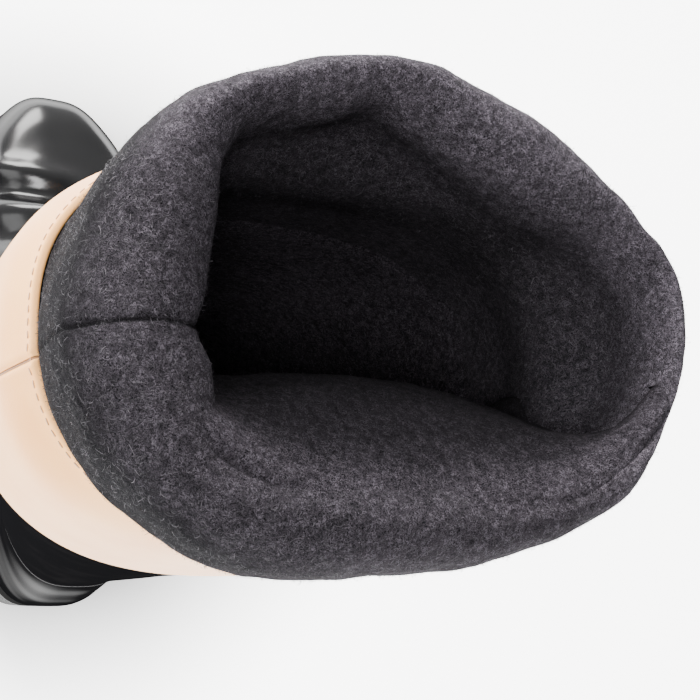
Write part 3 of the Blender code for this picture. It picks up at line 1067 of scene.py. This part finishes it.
@dataclass
class FeltRoll:
    """The thick felt rolled over the top line, with its leg inside the shaft, and its loose fibres."""

    columns: int = 220
    seam_steps: tuple[float, ...] = (0.005, 0.010, 0.017, 0.026, 0.038, 0.055)
    profile_steps: int = 72
    lip: tuple[LipPoint, ...] = table_of(
        LipPoint,
        (0.0, -10.0, 31.0), (20.0, 14.0, 31.0), (35.0, 30.0, 30.0), (45.0, 36.5, 26.0),
        (55.0, 38.0, 18.0), (68.0, 39.0, 10.2), (81.0, 40.0, 3.8), (95.0, 39.5, -6.5),
        (110.0, 38.0, -20.0), (125.0, 37.0, -31.0), (138.0, 33.0, -39.0), (152.0, 24.0, -43.5),
        (166.0, 12.0, -46.5), (178.0, 1.0, -50.0), (188.0, -8.0, -46.0), (202.0, -24.0, -38.0),
        (218.0, -40.0, -30.0), (234.0, -54.0, -25.5), (250.0, -64.0, -18.0), (268.0, -67.0, -6.0),
        (286.0, -65.0, 8.0), (302.0, -58.0, 19.0), (320.0, -46.0, 27.0), (340.0, -29.0, 31.0),
    )
    reaches: tuple[Reach, ...] = table_of(
        Reach,
        (0.0, 68.0), (20.0, 67.0), (45.0, 61.0), (79.0, 51.0), (100.0, 50.0), (123.0, 54.5),
        (154.0, 66.0), (174.0, 72.6), (192.0, 74.0), (210.0, 69.5), (233.0, 64.0), (257.0, 60.8),
        (283.0, 59.8), (309.0, 62.2), (329.0, 64.6), (346.0, 66.2),
    )
    roll: tuple[RollPoint, ...] = table_of(
        RollPoint,
        (0.34, 0.08), (0.62, 0.00), (0.86, 0.09), (0.97, 0.30), (1.00, 0.52), (0.95, 0.74), (0.80, 0.93),
        (0.55, 1.00), (0.38, 1.00),
    )
    tuck: tuple[RollPoint, ...] = (RollPoint(0.24, 0.92), RollPoint(0.09, 0.62))
    crest_rows: tuple[int, int] = (7, 8)
    layers: tuple[Lump, ...] = (Lump(1.1, 26.0, 3), Lump(0.45, 9.0, 5), Lump(0.22, 3.2, 8))
    settle: float = 8.0
    notch_depth: float = 3.2
    notch_width: float = 8.0
    notch_place: float = 0.72
    notch_top: float = 1.5
    notch_reach: float = 15.0
    seam_depth: float = 0.8
    seam_width: float = 1.1
    # Painted shade on the nap: the roll is darkened except on its lit front and lateral side, and more on its
    # outer medial flank, deeper inside the mouth and in the seam's groove.
    seam_dim: float = 0.85
    unlit_shade: float = 0.46
    flank_shade: float = 0.92
    flank_drop: float = 10.0
    lit_front: float = -24.0
    lit_side: float = 40.0
    lit_blend: float = 16.0
    depths: tuple[float, ...] = (8.0, 20.0, 36.0)
    depth_shades: tuple[float, ...] = (0.0, 0.52, 0.70)
    fibres: int = 30000
    fibre_seed: int = 11
    fibre_drop: float = 20.0
    turns: Array = field(init=False)
    skin: Array = field(init=False)

    def __post_init__(self) -> None:
        """Works out the columns and the roll's visible skin."""
        self.turns = LAST.turns(self.columns, self.seam_steps)
        self.skin = self.shape_skin()

    @property
    def seat(self) -> float:
        """Returns the height at which the roll meets the leather."""
        return LAST.leather_top + 2 * LAST.gap

    def leg(self, margin: float) -> list[Array]:
        """Returns the leg's rings with a margin to the leather's outside, from its foot up."""
        heights = (LAST.felt_leg_foot, (LAST.felt_leg_foot + LAST.leather_top) / 2, LAST.leather_top)
        return [LAST.level_ring(height, self.turns, margin) for height in heights]

    def mouth(self) -> Array:
        """Returns the plan of the roll's lip, a point for each column."""
        degrees = np.degrees(self.turns)
        turns = [row.turn for row in self.lip]
        x = smooth_round(degrees, turns, [row.x for row in self.lip])
        y = smooth_round(degrees, turns, [row.y for row in self.lip])
        return np.stack([x, LAST.collar_y + y], axis=1)

    def swell(self, edge: Array) -> Array:
        """Gives the plan of the roll's outer swell.

        Args:
            edge: Points of the leather's top edge, one for each column.

        Returns:
            A point outside each point of the edge.
        """
        bearing = np.arctan2(edge[:, 1] - LAST.collar_y, edge[:, 0])
        bearings = [row.bearing for row in self.reaches]
        reach = smooth_round(np.degrees(bearing), bearings, [row.reach for row in self.reaches])
        return np.stack([reach * np.cos(bearing), LAST.collar_y + reach * np.sin(bearing)], axis=1)

    def controls(self) -> Array:
        """Returns the rings that the skin runs through, from the leg's foot over the crest to the leather."""
        edge = LAST.level_ring(LAST.leather_top, self.turns, 0.0)
        swell = self.swell(edge)
        rings = self.leg(-LAST.upper_wall - 2 * LAST.gap - LAST.felt_wall)
        for profile, near in ((self.roll, self.mouth()), (self.tuck, edge[:, :2])):
            for point in profile:
                plan = near + point.place * (swell - near)
                height = np.full(len(plan), self.seat + point.height * (LAST.crest_height - self.seat))
                rings.append(np.column_stack([plan, height]))
        last = LAST.level_ring(LAST.leather_top, self.turns, LAST.gap)
        last[:, 2] = self.seat
        return np.stack([*rings, last])

    def shape_skin(self) -> Array:
        """Returns the roll's skin: a smooth run through the controls, with its seam, notch and lumps."""
        skin, at, knots = run_through(self.controls(), self.profile_steps)
        seam = LAST.seam_distance(skin, self.turns)
        above = ramp(skin[..., 2], Span(LAST.leather_top, LAST.leather_top + self.settle))
        crest = knots[list(self.crest_rows)].mean()
        inner = np.clip(self.notch_top - np.abs(at - crest * self.notch_place) / self.notch_reach, 0.0, 1.0)
        push = lumpy(skin, self.layers) - self.seam_depth * bell(seam, self.seam_width)
        push = push - self.notch_depth * bell(seam, self.notch_width) * inner[:, None]
        return skin - surface_normals(skin) * (push * above)[..., None]

    def build(self) -> bpy.types.Object:
        """Makes the closed roll with its leg."""
        leg = np.stack(self.leg(-LAST.upper_wall - 2 * LAST.gap)[::-1])
        leg[0, :, 2] = self.seat
        rings = np.concatenate([self.skin, leg])
        # The "dim" attribute carries the roll's painted shade.
        return wrap_grid("felt_roll", rings, True, {"dim": self.painted_shade(rings)})

    def painted_shade(self, rings: Array) -> Array:
        """Gives the painted shade on the nap: none on the crest's front and lateral side, where the light
        falls, and darker on the other sides, on the outer medial flank, deeper inside, and in the seam's
        groove.

        Args:
            rings: The roll's points, of shape (rings, columns, 3).

        Returns:
            A value from 0 to 1 for each point.
        """
        x, y, drop = rings[..., 0], rings[..., 1] - LAST.collar_y, LAST.crest_height - rings[..., 2]
        crest_row = int(np.argmax(self.skin[..., 2].mean(axis=1)))
        outer = (np.arange(len(rings)) > crest_row)[:, None]
        forward = ramp(y, Span(self.lit_front, self.lit_front - self.lit_blend))
        lateral = ramp(x, Span(-self.lit_side, -self.lit_side - self.lit_blend))
        crest = self.unlit_shade * (1 - np.maximum(forward, lateral))
        inside = smooth(drop, list(self.depths), list(self.depth_shades))
        flank = self.flank_shade * ramp(x, Span(0.0, self.lit_side)) * ramp(drop, Span(0.0, self.flank_drop))
        sewn = self.seam_dim * bell(LAST.seam_distance(rings, self.turns), self.seam_width)
        return 1 - (1 - crest) * (1 - np.where(outer, flank, inside)) * (1 - sewn)

    def make(self) -> None:
        """Builds and dresses the roll and its fibres."""
        roll = place(self.build(), FeltFinish().material(), Slot.FELT, Node.FELT)
        shown = self.skin[:, :, 2].mean(axis=1) > LAST.leather_top - self.fibre_drop
        closed = np.concatenate([self.skin, self.skin[:, :1]], axis=1)[shown]
        fibres = scatter_fibres("felt_fibres", closed, self.fibres, self.fibre_seed)
        place(fibres, FibreFinish().material(), Slot.FELT)


class FoldStation(NamedTuple):
    """A place across the fold inside the mouth's back: its root, its brow and the brow's height."""

    x: float
    root: float
    brow: float
    height: float


@dataclass
class FeltFold:
    """The back of the lining, which sags into the mouth as one soft slope from the roll's crest."""

    stations: int = 110
    profile_steps: int = 48
    crest_points: tuple[tuple[float, float], ...] = ((4.0, -4.0), (-2.0, -0.9), (-7.0, -3.4))
    brow_points: tuple[tuple[float, float], ...] = ((2.5, 2.5), (0.0, -4.0), (3.0, -16.0))
    bulge: float = 3.2
    foot_y: float = 28.0
    foot_setback: float = 9.0
    foot_height: float = 318.0
    narrowing: float = 0.12
    narrow_heights: Span = Span(357.0, 351.0)
    layers: tuple[Lump, ...] = (Lump(1.0, 24.0, 61), Lump(0.45, 8.0, 62), Lump(0.22, 3.2, 63))
    lump_way: tuple[float, float, float] = (0.0, -0.6, 0.8)
    behind: tuple[tuple[float, float, float], ...] = ((0.0, 3.0, 0.0), (0.0, -1.0, -8.0))
    # Painted shade: the fold's nap is darker the deeper it lies in the mouth.
    shade_heights: tuple[float, ...] = (367.0, 378.0, 383.0, 387.0)
    shade_dims: tuple[float, ...] = (0.88, 0.84, 0.72, 0.44)
    fibres: int = 14000
    fibre_seed: int = 17
    fibre_rows: slice = field(default_factory=lambda: slice(4, 30))
    felt: FeltFinish = FeltFinish(name="fold_felt_nap", sheen=0.02)
    # The fold's fibres are a darker copy of the loose fibres, as painted shade inside the mouth.
    loose: FibreFinish = FibreFinish(name="fold_felt_fibres", light=(0.070, 0.063, 0.072))
    table: tuple[FoldStation, ...] = table_of(
        FoldStation,
        (-66.0, 14.0, 12.0, 360.0), (-60.0, 21.0, 15.0, 361.0), (-50.0, 30.0, 13.5, 362.0),
        (-36.0, 37.0, 9.5, 362.0), (-24.0, 39.0, 7.0, 362.0), (-9.0, 39.5, 6.0, 362.0),
        (14.0, 38.0, 6.5, 362.0), (30.0, 33.0, 8.0, 362.0), (40.0, 27.0, 9.0, 362.0),
        (48.0, 20.0, 8.0, 361.0), (58.0, 12.0, 5.0, 360.0),
    )
    skin: Array = field(init=False)

    def __post_init__(self) -> None:
        """Works out the fold's visible skin."""
        self.skin = self.shape_skin()

    def shape_skin(self) -> Array:
        """Returns the slope from the crest over the brow to the foot, of shape (profile, stations, 3)."""
        xs, *columns = (list(column) for column in zip(*self.table))
        x = np.linspace(xs[0], xs[-1], self.stations)
        root, brow, height = (smooth(x, xs, column) for column in columns)
        within = root - self.foot_setback
        upper = [(root + out, np.full_like(x, LAST.crest_height + up)) for out, up in self.crest_points]
        lower = [(brow + out, height + up) for out, up in self.brow_points]
        lower[-1] = (np.minimum(lower[-1][0], within), lower[-1][1])
        middle = [(above + below) / 2 for above, below in zip(upper[-1], lower[0])]
        middle[1] = middle[1] + self.bulge
        foot = (np.minimum(self.foot_y, within), np.full_like(x, self.foot_height))
        controls = np.array([*upper, middle, *lower, foot]).transpose(0, 2, 1)
        y, z = np.moveaxis(run_through(controls, self.profile_steps)[0], -1, 0)
        narrowed = 1 - self.narrowing * ramp(z, self.narrow_heights)
        skin = np.stack([x * narrowed, y + LAST.collar_y, z], axis=2)
        return skin + lumpy(skin, self.layers)[..., None] * np.array(self.lump_way)

    def build(self) -> bpy.types.Object:
        """Makes the closed fold, its ends and back inside the roll."""
        behind = self.skin[[-1, 0]] + np.array(self.behind)[:, None]
        rings = np.concatenate([self.skin, behind]).transpose(1, 0, 2)
        ends = []
        for end in (0, -1):
            middle = rings[end].mean(axis=0)
            middle[0] = self.table[end].x
            ends.append(np.repeat(middle[None, None], rings.shape[1], axis=1))
        rings = np.concatenate([ends[0], rings, ends[1]])
        # The fold's "dim" attribute is its painted shade, darker lower down.
        dim = smooth(rings[..., 2], list(self.shade_heights), list(self.shade_dims))
        return wrap_grid("felt_fold", rings, False, {"dim": dim})

    def make(self) -> None:
        """Builds and dresses the fold and its fibres."""
        fold = place(self.build(), self.felt.material(), Slot.FELT, Node.FELT)
        fibres = scatter_fibres("fold_fibres", self.skin[self.fibre_rows], self.fibres, self.fibre_seed)
        place(fibres, self.loose.material(), Slot.FELT)


@dataclass
class FeltLining:
    """The felt that lines the shaft, under the roll's leg."""

    columns: int = 120
    rings: int = 60
    thickness: float = 6.1
    tucked: float = 4.2
    low_place: float = 9.0
    high_place: float = 16.4
    tuck_place: float = 16.03
    clear_places: tuple[float, ...] = (9.0, 13.0, 14.5)
    clearances: tuple[float, ...] = (3.0, 2.6, 0.5)
    layers: tuple[Lump, ...] = (Lump(0.5, 14.0, 21),)
    # Painted shade: the whole lining is darkened, as it lies deep in the shaft.
    deep_shade: float = 0.58
    felt: FeltFinish = FeltFinish(name="lining_felt_nap", sheen=0.0)

    def make(self) -> None:
        """Builds and dresses the lining."""
        turns = LAST.turns(self.columns)
        places = np.linspace(self.low_place, self.high_place, self.rings)
        margins = -LAST.upper_wall - smooth(places, list(self.clear_places), list(self.clearances))
        depths = smooth(places, [self.tuck_place, self.high_place], [self.thickness, self.tucked])
        outer = LAST.stack(places, turns, margins)
        inner = LAST.stack(places, turns, margins - depths)
        inner = inner + surface_normals(inner) * lumpy(inner, self.layers)[..., None]
        rings = np.concatenate([outer, inner[::-1]])
        # The lining's "dim" attribute is its painted shade.
        lining = wrap_grid("felt_lining", rings, True, {"dim": np.full(rings.shape[:2], self.deep_shade)})
        place(lining, self.felt.material(), Slot.FELT)


@dataclass
class TanBand:
    """The tan leather band round the top of the shaft, with the stitches along its cut edge."""

    columns: int = 220
    seam_steps: tuple[float, ...] = (0.004, 0.008, 0.014, 0.024, 0.040)
    layers: tuple[Lump, ...] = (Lump(0.28, 24.0, 31),)
    seam_ridge: float = 0.35
    ridge_place: float = 1.6
    seam_dip: float = 0.35
    dip_width: float = 0.8
    wall_rings: int = 22
    wall_shares: Span = Span(0.985, 0.02)
    hem_round: float = 0.3
    edge_profile: tuple[tuple[float, float], ...] = ((0.45, 1.0), (0.14, 0.82), (0.0, 0.5), (0.05, 0.2))
    top_tuck: float = 0.5
    hem_tuck: float = 0.4
    inner_edge: float = 0.6
    stitch_drop: float = 1.9
    stitch_lift: float = 0.05
    stitch_pitch: float = 2.7
    stitch_size: tuple[float, float, float] = (1.75, 0.46, 0.368)
    stitch_power: float = 0.8
    stitch_segments: int = 6
    stitch_rings: int = 5
    stitch_tilt: float = 0.10
    tilt_turn: float = 2.4
    turns: Array = field(init=False)

    def __post_init__(self) -> None:
        """Works out the columns."""
        self.turns = LAST.turns(self.columns, self.seam_steps)

    def drops(self, share: float) -> Array:
        """Returns how far below the top each column of a ring is, at a share of the band's depth."""
        return share * (LAST.band_height + LAST.band_fall * (1 + np.cos(self.turns)) / 2)

    def outer_ring(self, drops: Array, margin: float) -> Array:
        """Gives a ring of the band, with the leather's slight waves and its seam's dip.

        Args:
            drops: How far below the top each column is.
            margin: Growth outwards from the shaft.

        Returns:
            Points of shape (columns, 3).
        """
        ring = LAST.shaft_point(LAST.leather_top - drops, self.turns, margin)
        seam = LAST.seam_distance(ring[None], self.turns)[0]
        outward = ring - np.array([0.0, LAST.collar_y, 0.0])
        outward[:, 2] = 0.0
        wave = lumpy(ring, self.layers) - self.seam_dip * bell(seam, self.dip_width)
        wave = wave + self.seam_ridge * bell(np.abs(seam) - self.ridge_place, self.ridge_place)
        return ring + unit(outward) * wave[:, None]

    def build(self) -> bpy.types.Object:
        """Makes the band's closed wall with a rounded cut edge."""
        inner, outer = LAST.gap, LAST.gap + LAST.band_wall
        level = np.zeros_like(self.turns)
        rings = [self.outer_ring(self.drops(1.0) - self.hem_round, outer - self.hem_round)]
        for share in np.linspace(*self.wall_shares, self.wall_rings):
            rings.append(self.outer_ring(self.drops(float(share)), outer))
        for drop, across in self.edge_profile:
            rings.append(self.outer_ring(level + drop, inner + across * LAST.band_wall))
        for share, shift in ((0.0, -self.top_tuck), (1.0, self.hem_tuck)):
            rings.append(LAST.shaft_point(LAST.leather_top - self.drops(share) + shift, self.turns, inner))
        edge = [0.0] * (1 + self.wall_rings) + [1.0] * len(self.edge_profile) + [self.inner_edge] * 2
        stack = np.stack(rings)
        marks = {
            "seam": LAST.seam_distance(stack, self.turns),
            "edge": np.repeat(np.array(edge)[:, None], stack.shape[1], axis=1),
        }
        return wrap_grid("tan_band", stack, True, marks)

    def one_stitch(self) -> tuple[Array, Array]:
        """Returns the points and faces of one stitch lying along X, shaped from a small sphere."""
        bpy.ops.object.select_all(action="DESELECT")
        bpy.ops.mesh.primitive_uv_sphere_add(
            segments=self.stitch_segments,
            ring_count=self.stitch_rings,
            radius=0.5,
            rotation=(0.0, math.pi / 2, 0.0),
        )
        made = bpy.context.object
        bpy.ops.object.transform_apply(location=True, rotation=True, scale=True)
        in_edit(made, bpy.ops.mesh.quads_convert_to_tris)
        points = np.array([tuple(vertex.co) for vertex in made.data.vertices])
        points = signed_power(points * 2, self.stitch_power) / 2 * np.array(self.stitch_size)
        faces = np.array([tuple(face.vertices) for face in made.data.polygons])
        mesh = made.data
        bpy.data.objects.remove(made)
        bpy.data.meshes.remove(mesh)
        return points, faces

    def build_stitches(self) -> bpy.types.Object:
        """Makes the row of stitches below the cut edge."""
        margin = LAST.gap + LAST.band_wall + self.stitch_lift
        level = np.full_like(self.turns, self.stitch_drop)
        ring = self.outer_ring(level, margin)
        above = self.outer_ring(level - 1.0, margin)
        closed = np.concatenate([ring, ring[:1]])
        rise = np.concatenate([above, above[:1]]) - closed
        run = running(np.linalg.norm(np.diff(closed, axis=0), axis=1))
        count = int(round(run[-1] / self.stitch_pitch))
        spots = (np.arange(count) + 0.5) * run[-1] / count

        def at(where: Array, values: Array) -> Array:
            """Returns values of the ring at lengths along it."""
            return np.stack([np.interp(where % run[-1], run, values[:, axis]) for axis in range(3)], axis=1)

        centre = at(spots, closed)
        along = unit(at(spots + 0.5, closed) - at(spots - 0.5, closed))
        up = at(spots, rise)
        up = unit(up - along * np.sum(up * along, axis=1, keepdims=True))
        out = np.cross(up, along)
        middle = np.array([0.0, LAST.collar_y, LAST.leather_top - self.stitch_drop])
        out = out * np.sign(np.sum(out * (centre - middle), axis=1, keepdims=True))
        along = along + up * self.stitch_tilt * np.cos(np.arange(count) * self.tilt_turn)[:, None]
        points, faces = self.one_stitch()
        placed = centre[:, None]
        for axis, way in enumerate((along, up, out)):
            placed = placed + points[None, :, axis : axis + 1] * way[:, None]
        many = (np.arange(count)[:, None, None] * len(points) + faces[None]).reshape(-1, 3)
        made = mesh_from_arrays("band_stitches", placed.reshape(-1, 3), many)
        in_edit(made, lambda: bpy.ops.mesh.normals_make_consistent(inside=False))
        bpy.ops.object.shade_smooth()
        return made

    def make(self) -> None:
        """Builds and dresses the band and its stitches."""
        place(self.build(), TanFinish().material(), Slot.TAN, Node.BAND)
        place(self.build_stitches(), TWISTED_THREAD.material(), Slot.TAN)


class Crease(NamedTuple):
    """A soft trough across the vamp or ankle: its middle along Y or Z, its slant, its sizes and its ends."""

    middle: float
    slant: float
    width: float
    depth: float
    medial: float
    lateral: float


@dataclass
class BlackLeather:
    """The black leather foot and the shaft sewn to it, thin walls with their flex creases."""

    columns: int = 200
    seam_steps: tuple[float, ...] = (0.006, 0.014, 0.026)
    foot_rings: int = 80
    shaft_rings: int = 76
    half_gap: float = 0.015
    vamp: tuple[Crease, ...] = table_of(
        Crease,
        (-64.0, -0.10, 9.5, 3.6, 62.0, -12.0), (-45.0, 0.10, 9.0, 2.2, 52.0, -30.0),
        (-33.0, -0.12, 8.0, 1.5, 34.0, -44.0),
    )
    ankle: tuple[Crease, ...] = table_of(
        Crease,
        (118.0, 0.10, 13.0, 2.4, 46.0, -46.0), (142.0, -0.14, 15.0, 2.0, 50.0, -30.0),
        (168.0, 0.08, 17.0, 1.5, 30.0, -52.0),
    )
    vamp_heights: Span = Span(24.0, 44.0)
    ankle_front: Span = Span(62.0, 28.0)
    crease_end: float = 16.0
    lip_share: float = 0.55
    lip_place: float = 1.1
    layers: tuple[Lump, ...] = (Lump(0.7, 60.0, 41), Lump(0.14, 22.0, 43))
    calm_below: Span = Span(12.0, 37.0)
    calm_above: Span = Span(265.0, 245.0)
    seam_foot: float = 60.0
    no_seam: float = 99.0
    satin: BlackFinish = BlackFinish(name="black_leather_satin", roughness=0.55, coat=0.16)

    def creased(self, skin: Array) -> tuple[Array, Array]:
        """Presses the creases into the skin.

        Args:
            skin: Points of shape (rings, columns, 3).

        Returns:
            How far each point moves outwards, and how much of a crease it lies in.
        """
        x, y, z = np.moveaxis(skin, -1, 0)
        push = np.zeros(x.shape)
        mark = np.zeros(x.shape)
        on_vamp = ramp(z, self.vamp_heights) * (y < 0.0)
        on_ankle = ramp(y, self.ankle_front)
        rows = [(row, y, on_vamp) for row in self.vamp] + [(row, z, on_ankle) for row in self.ankle]
        for row, along, where in rows:
            away = along - row.middle - row.slant * x
            span = ramp(x, Span(row.medial, row.medial - self.crease_end)) * where
            span = span * ramp(x, Span(row.lateral, row.lateral + self.crease_end))
            core = bell(away, row.width)
            lips = bell(np.abs(away) - row.width * self.lip_place, row.width)
            push = push - row.depth * (core - self.lip_share * lips) * span
            mark = np.maximum(mark, core * span)
        return push, mark

    def build(self, name: str, first: float, last: float, count: int) -> bpy.types.Object:
        """Makes one wall, open at both ends.

        Args:
            name: Name of the piece.
            first: Place of its lowest ring in the list of sections.
            last: Place of its highest ring.
            count: How many rings.

        Returns:
            The wall with its thickness inwards.
        """
        turns = LAST.turns(self.columns, self.seam_steps)
        skin = LAST.stack(np.linspace(first, last, count), turns, np.zeros(count))
        height = skin[..., 2]
        push, mark = self.creased(skin)
        calm = ramp(height, self.calm_below) * ramp(height, self.calm_above)
        push = push + calm * lumpy(skin, self.layers)
        seam = np.where(height > self.seam_foot, LAST.seam_distance(skin, turns), self.no_seam)
        rings = skin + surface_normals(skin) * push[..., None]
        made = wrap_grid(name, rings, False, {"crease": mark, "seam": seam})
        top = max(made.data.polygons, key=lambda face: face.center.z)
        if (top.center - Vector((0.0, LAST.collar_y * MM, top.center.z))).dot(top.normal) < 0:
            in_edit(made, bpy.ops.mesh.flip_normals)
        select_only(made)
        wall = made.modifiers.new("Wall", "SOLIDIFY")
        wall.thickness = LAST.upper_wall * MM
        wall.offset = -1.0
        wall.use_rim = True
        bpy.ops.object.modifier_apply(modifier=wall.name)
        return made

    def make(self) -> None:
        """Builds and dresses the foot and the shaft."""
        seam, top = LAST.ankle_seam, len(LAST.sections) - 1.0
        foot = self.build("black_upper", 0.0, seam - self.half_gap, self.foot_rings)
        place(foot, BlackFinish().material(), Slot.BLACK, Node.UPPER)
        shaft = self.build("black_shaft", seam + self.half_gap, top, self.shaft_rings)
        place(shaft, self.satin.material(), Slot.BLACK, Node.SHAFT)


@dataclass
class Sole:
    """The outsole, heel and insole, which keep their CAD solids."""

    def make(self) -> None:
        """Dresses the sole's solids."""
        rubber = SCUFFED_RUBBER.material()
        sock = FeltFinish(name="sock_felt_nap").material()
        for node, material in ((Node.OUTSOLE, rubber), (Node.HEEL, rubber), (Node.INSOLE, sock)):
            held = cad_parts[node.value]
            held.data.materials.clear()
            held.data.materials.append(material)
            log.info("%s: dressed", node.value)


@dataclass(frozen=True)
class Eye:
    """The camera, fitted to the photograph's collar, band and toe."""

    position: tuple[float, float, float] = (110.0, 119.5, 588.5)
    ahead: tuple[float, float, float] = (-0.42698, -0.20413, -0.88092)
    up: tuple[float, float, float] = (0.08903, -0.97894, 0.18369)
    focal_pixels: float = 1160.0
    frame_pixels: float = 700.0
    sensor: float = 36.0
    nearest: float = 0.005
    farthest: float = 50.0

    def make(self) -> None:
        """Sets the camera up."""
        data = bpy.data.cameras.new("camera")
        data.sensor_width = self.sensor
        data.lens = self.sensor * self.focal_pixels / self.frame_pixels
        data.clip_start = self.nearest
        data.clip_end = self.farthest
        made = add_object("camera", data)
        ahead = Vector(self.ahead).normalized()
        right = ahead.cross(Vector(self.up)).normalized()
        up = right.cross(ahead)
        turn = Matrix((right, up, -ahead)).transposed().to_4x4()
        made.matrix_world = Matrix.Translation(Vector(self.position) * MM) @ turn
        bpy.context.scene.camera = made


class Lamp(NamedTuple):
    """A soft area light: where it is, what it faces, its side in metres and its power in watts."""

    name: str
    position: tuple[float, float, float]
    target: tuple[float, float, float]
    side: float
    power: float
    colour: Colour


@dataclass
class Studio:
    """The pale floor, the soft lights and the surrounding glow."""

    floor_side: float = 8.0
    floor_cuts: int = 4
    dim: float = 0.36
    bright: float = 1.7
    bright_side: tuple[float, float, float] = (0.38, -0.88, 0.28)
    bright_step: Span = Span(-0.1, 0.9)
    lamps: tuple[Lamp, ...] = (
        Lamp("key", (0.45, -1.33, 0.62), (0.0, 0.06, 0.37), 0.7, 66.0, (1.0, 0.99, 0.97)),
        Lamp("side", (1.19, 0.16, 1.02), (0.0, 0.06, 0.36), 0.8, 12.0, WHITE),
        Lamp("fill", (0.42, 0.36, 1.40), (-0.01, 0.06, 0.30), 0.3, 12.0, WHITE),
    )

    def make_floor(self) -> None:
        """Lays the floor."""
        bpy.ops.object.select_all(action="DESELECT")
        bpy.ops.mesh.primitive_plane_add(size=self.floor_side, location=(0.0, 0.0, 0.0))
        floor = bpy.context.object
        floor.name = "studio_floor"
        in_edit(floor, lambda: bpy.ops.mesh.subdivide(number_cuts=self.floor_cuts))
        floor.data.materials.append(FloorFinish().material())

    def make_lights(self) -> None:
        """Hangs the lights."""
        for lamp in self.lamps:
            data = bpy.data.lights.new(lamp.name, "AREA")
            data.size = lamp.side
            data.energy = lamp.power
            data.color = lamp.colour
            made = add_object(lamp.name, data)
            made.location = lamp.position
            ahead = Vector(lamp.target) - Vector(lamp.position)
            made.rotation_mode = "QUATERNION"
            made.rotation_quaternion = ahead.to_track_quat("-Z", "Y")

    def make_dome(self) -> None:
        """Sets the surrounding light, brighter from one side."""
        world = bpy.data.worlds.new("soft_dome")
        world.use_nodes = True
        dome = Shading(world.node_tree)
        heading = dome.node("ShaderNodeTexCoord", {}, {}, "Generated")
        turned = {0: heading, 1: self.bright_side}
        facing = dome.node("ShaderNodeVectorMath", {"operation": "DOT_PRODUCT"}, turned, "Value")
        steps = {0: facing, 1: self.bright_step.start, 2: self.bright_step.end, 3: self.dim, 4: self.bright}
        strength = dome.node("ShaderNodeMapRange", {"interpolation_type": "SMOOTHSTEP"}, steps)
        background = world.node_tree.nodes["Background"]
        dome.feed(background.inputs["Strength"], strength)
        dome.feed(background.inputs["Color"], WHITE)
        bpy.context.scene.world = world

    def make(self) -> None:
        """Builds the studio."""
        self.make_floor()
        self.make_lights()
        self.make_dome()


def main() -> None:
    """Builds the boot's pieces in order, then the studio."""
    logging.basicConfig(level=logging.INFO, format="%(name)s: %(message)s")
    Eye().make()
    for assembly in (FeltRoll(), FeltFold(), FeltLining(), TanBand(), BlackLeather(), Sole(), Studio()):
        assembly.make()
        log.info("%s done", type(assembly).__name__)


if __name__ == "__main__":
    main()
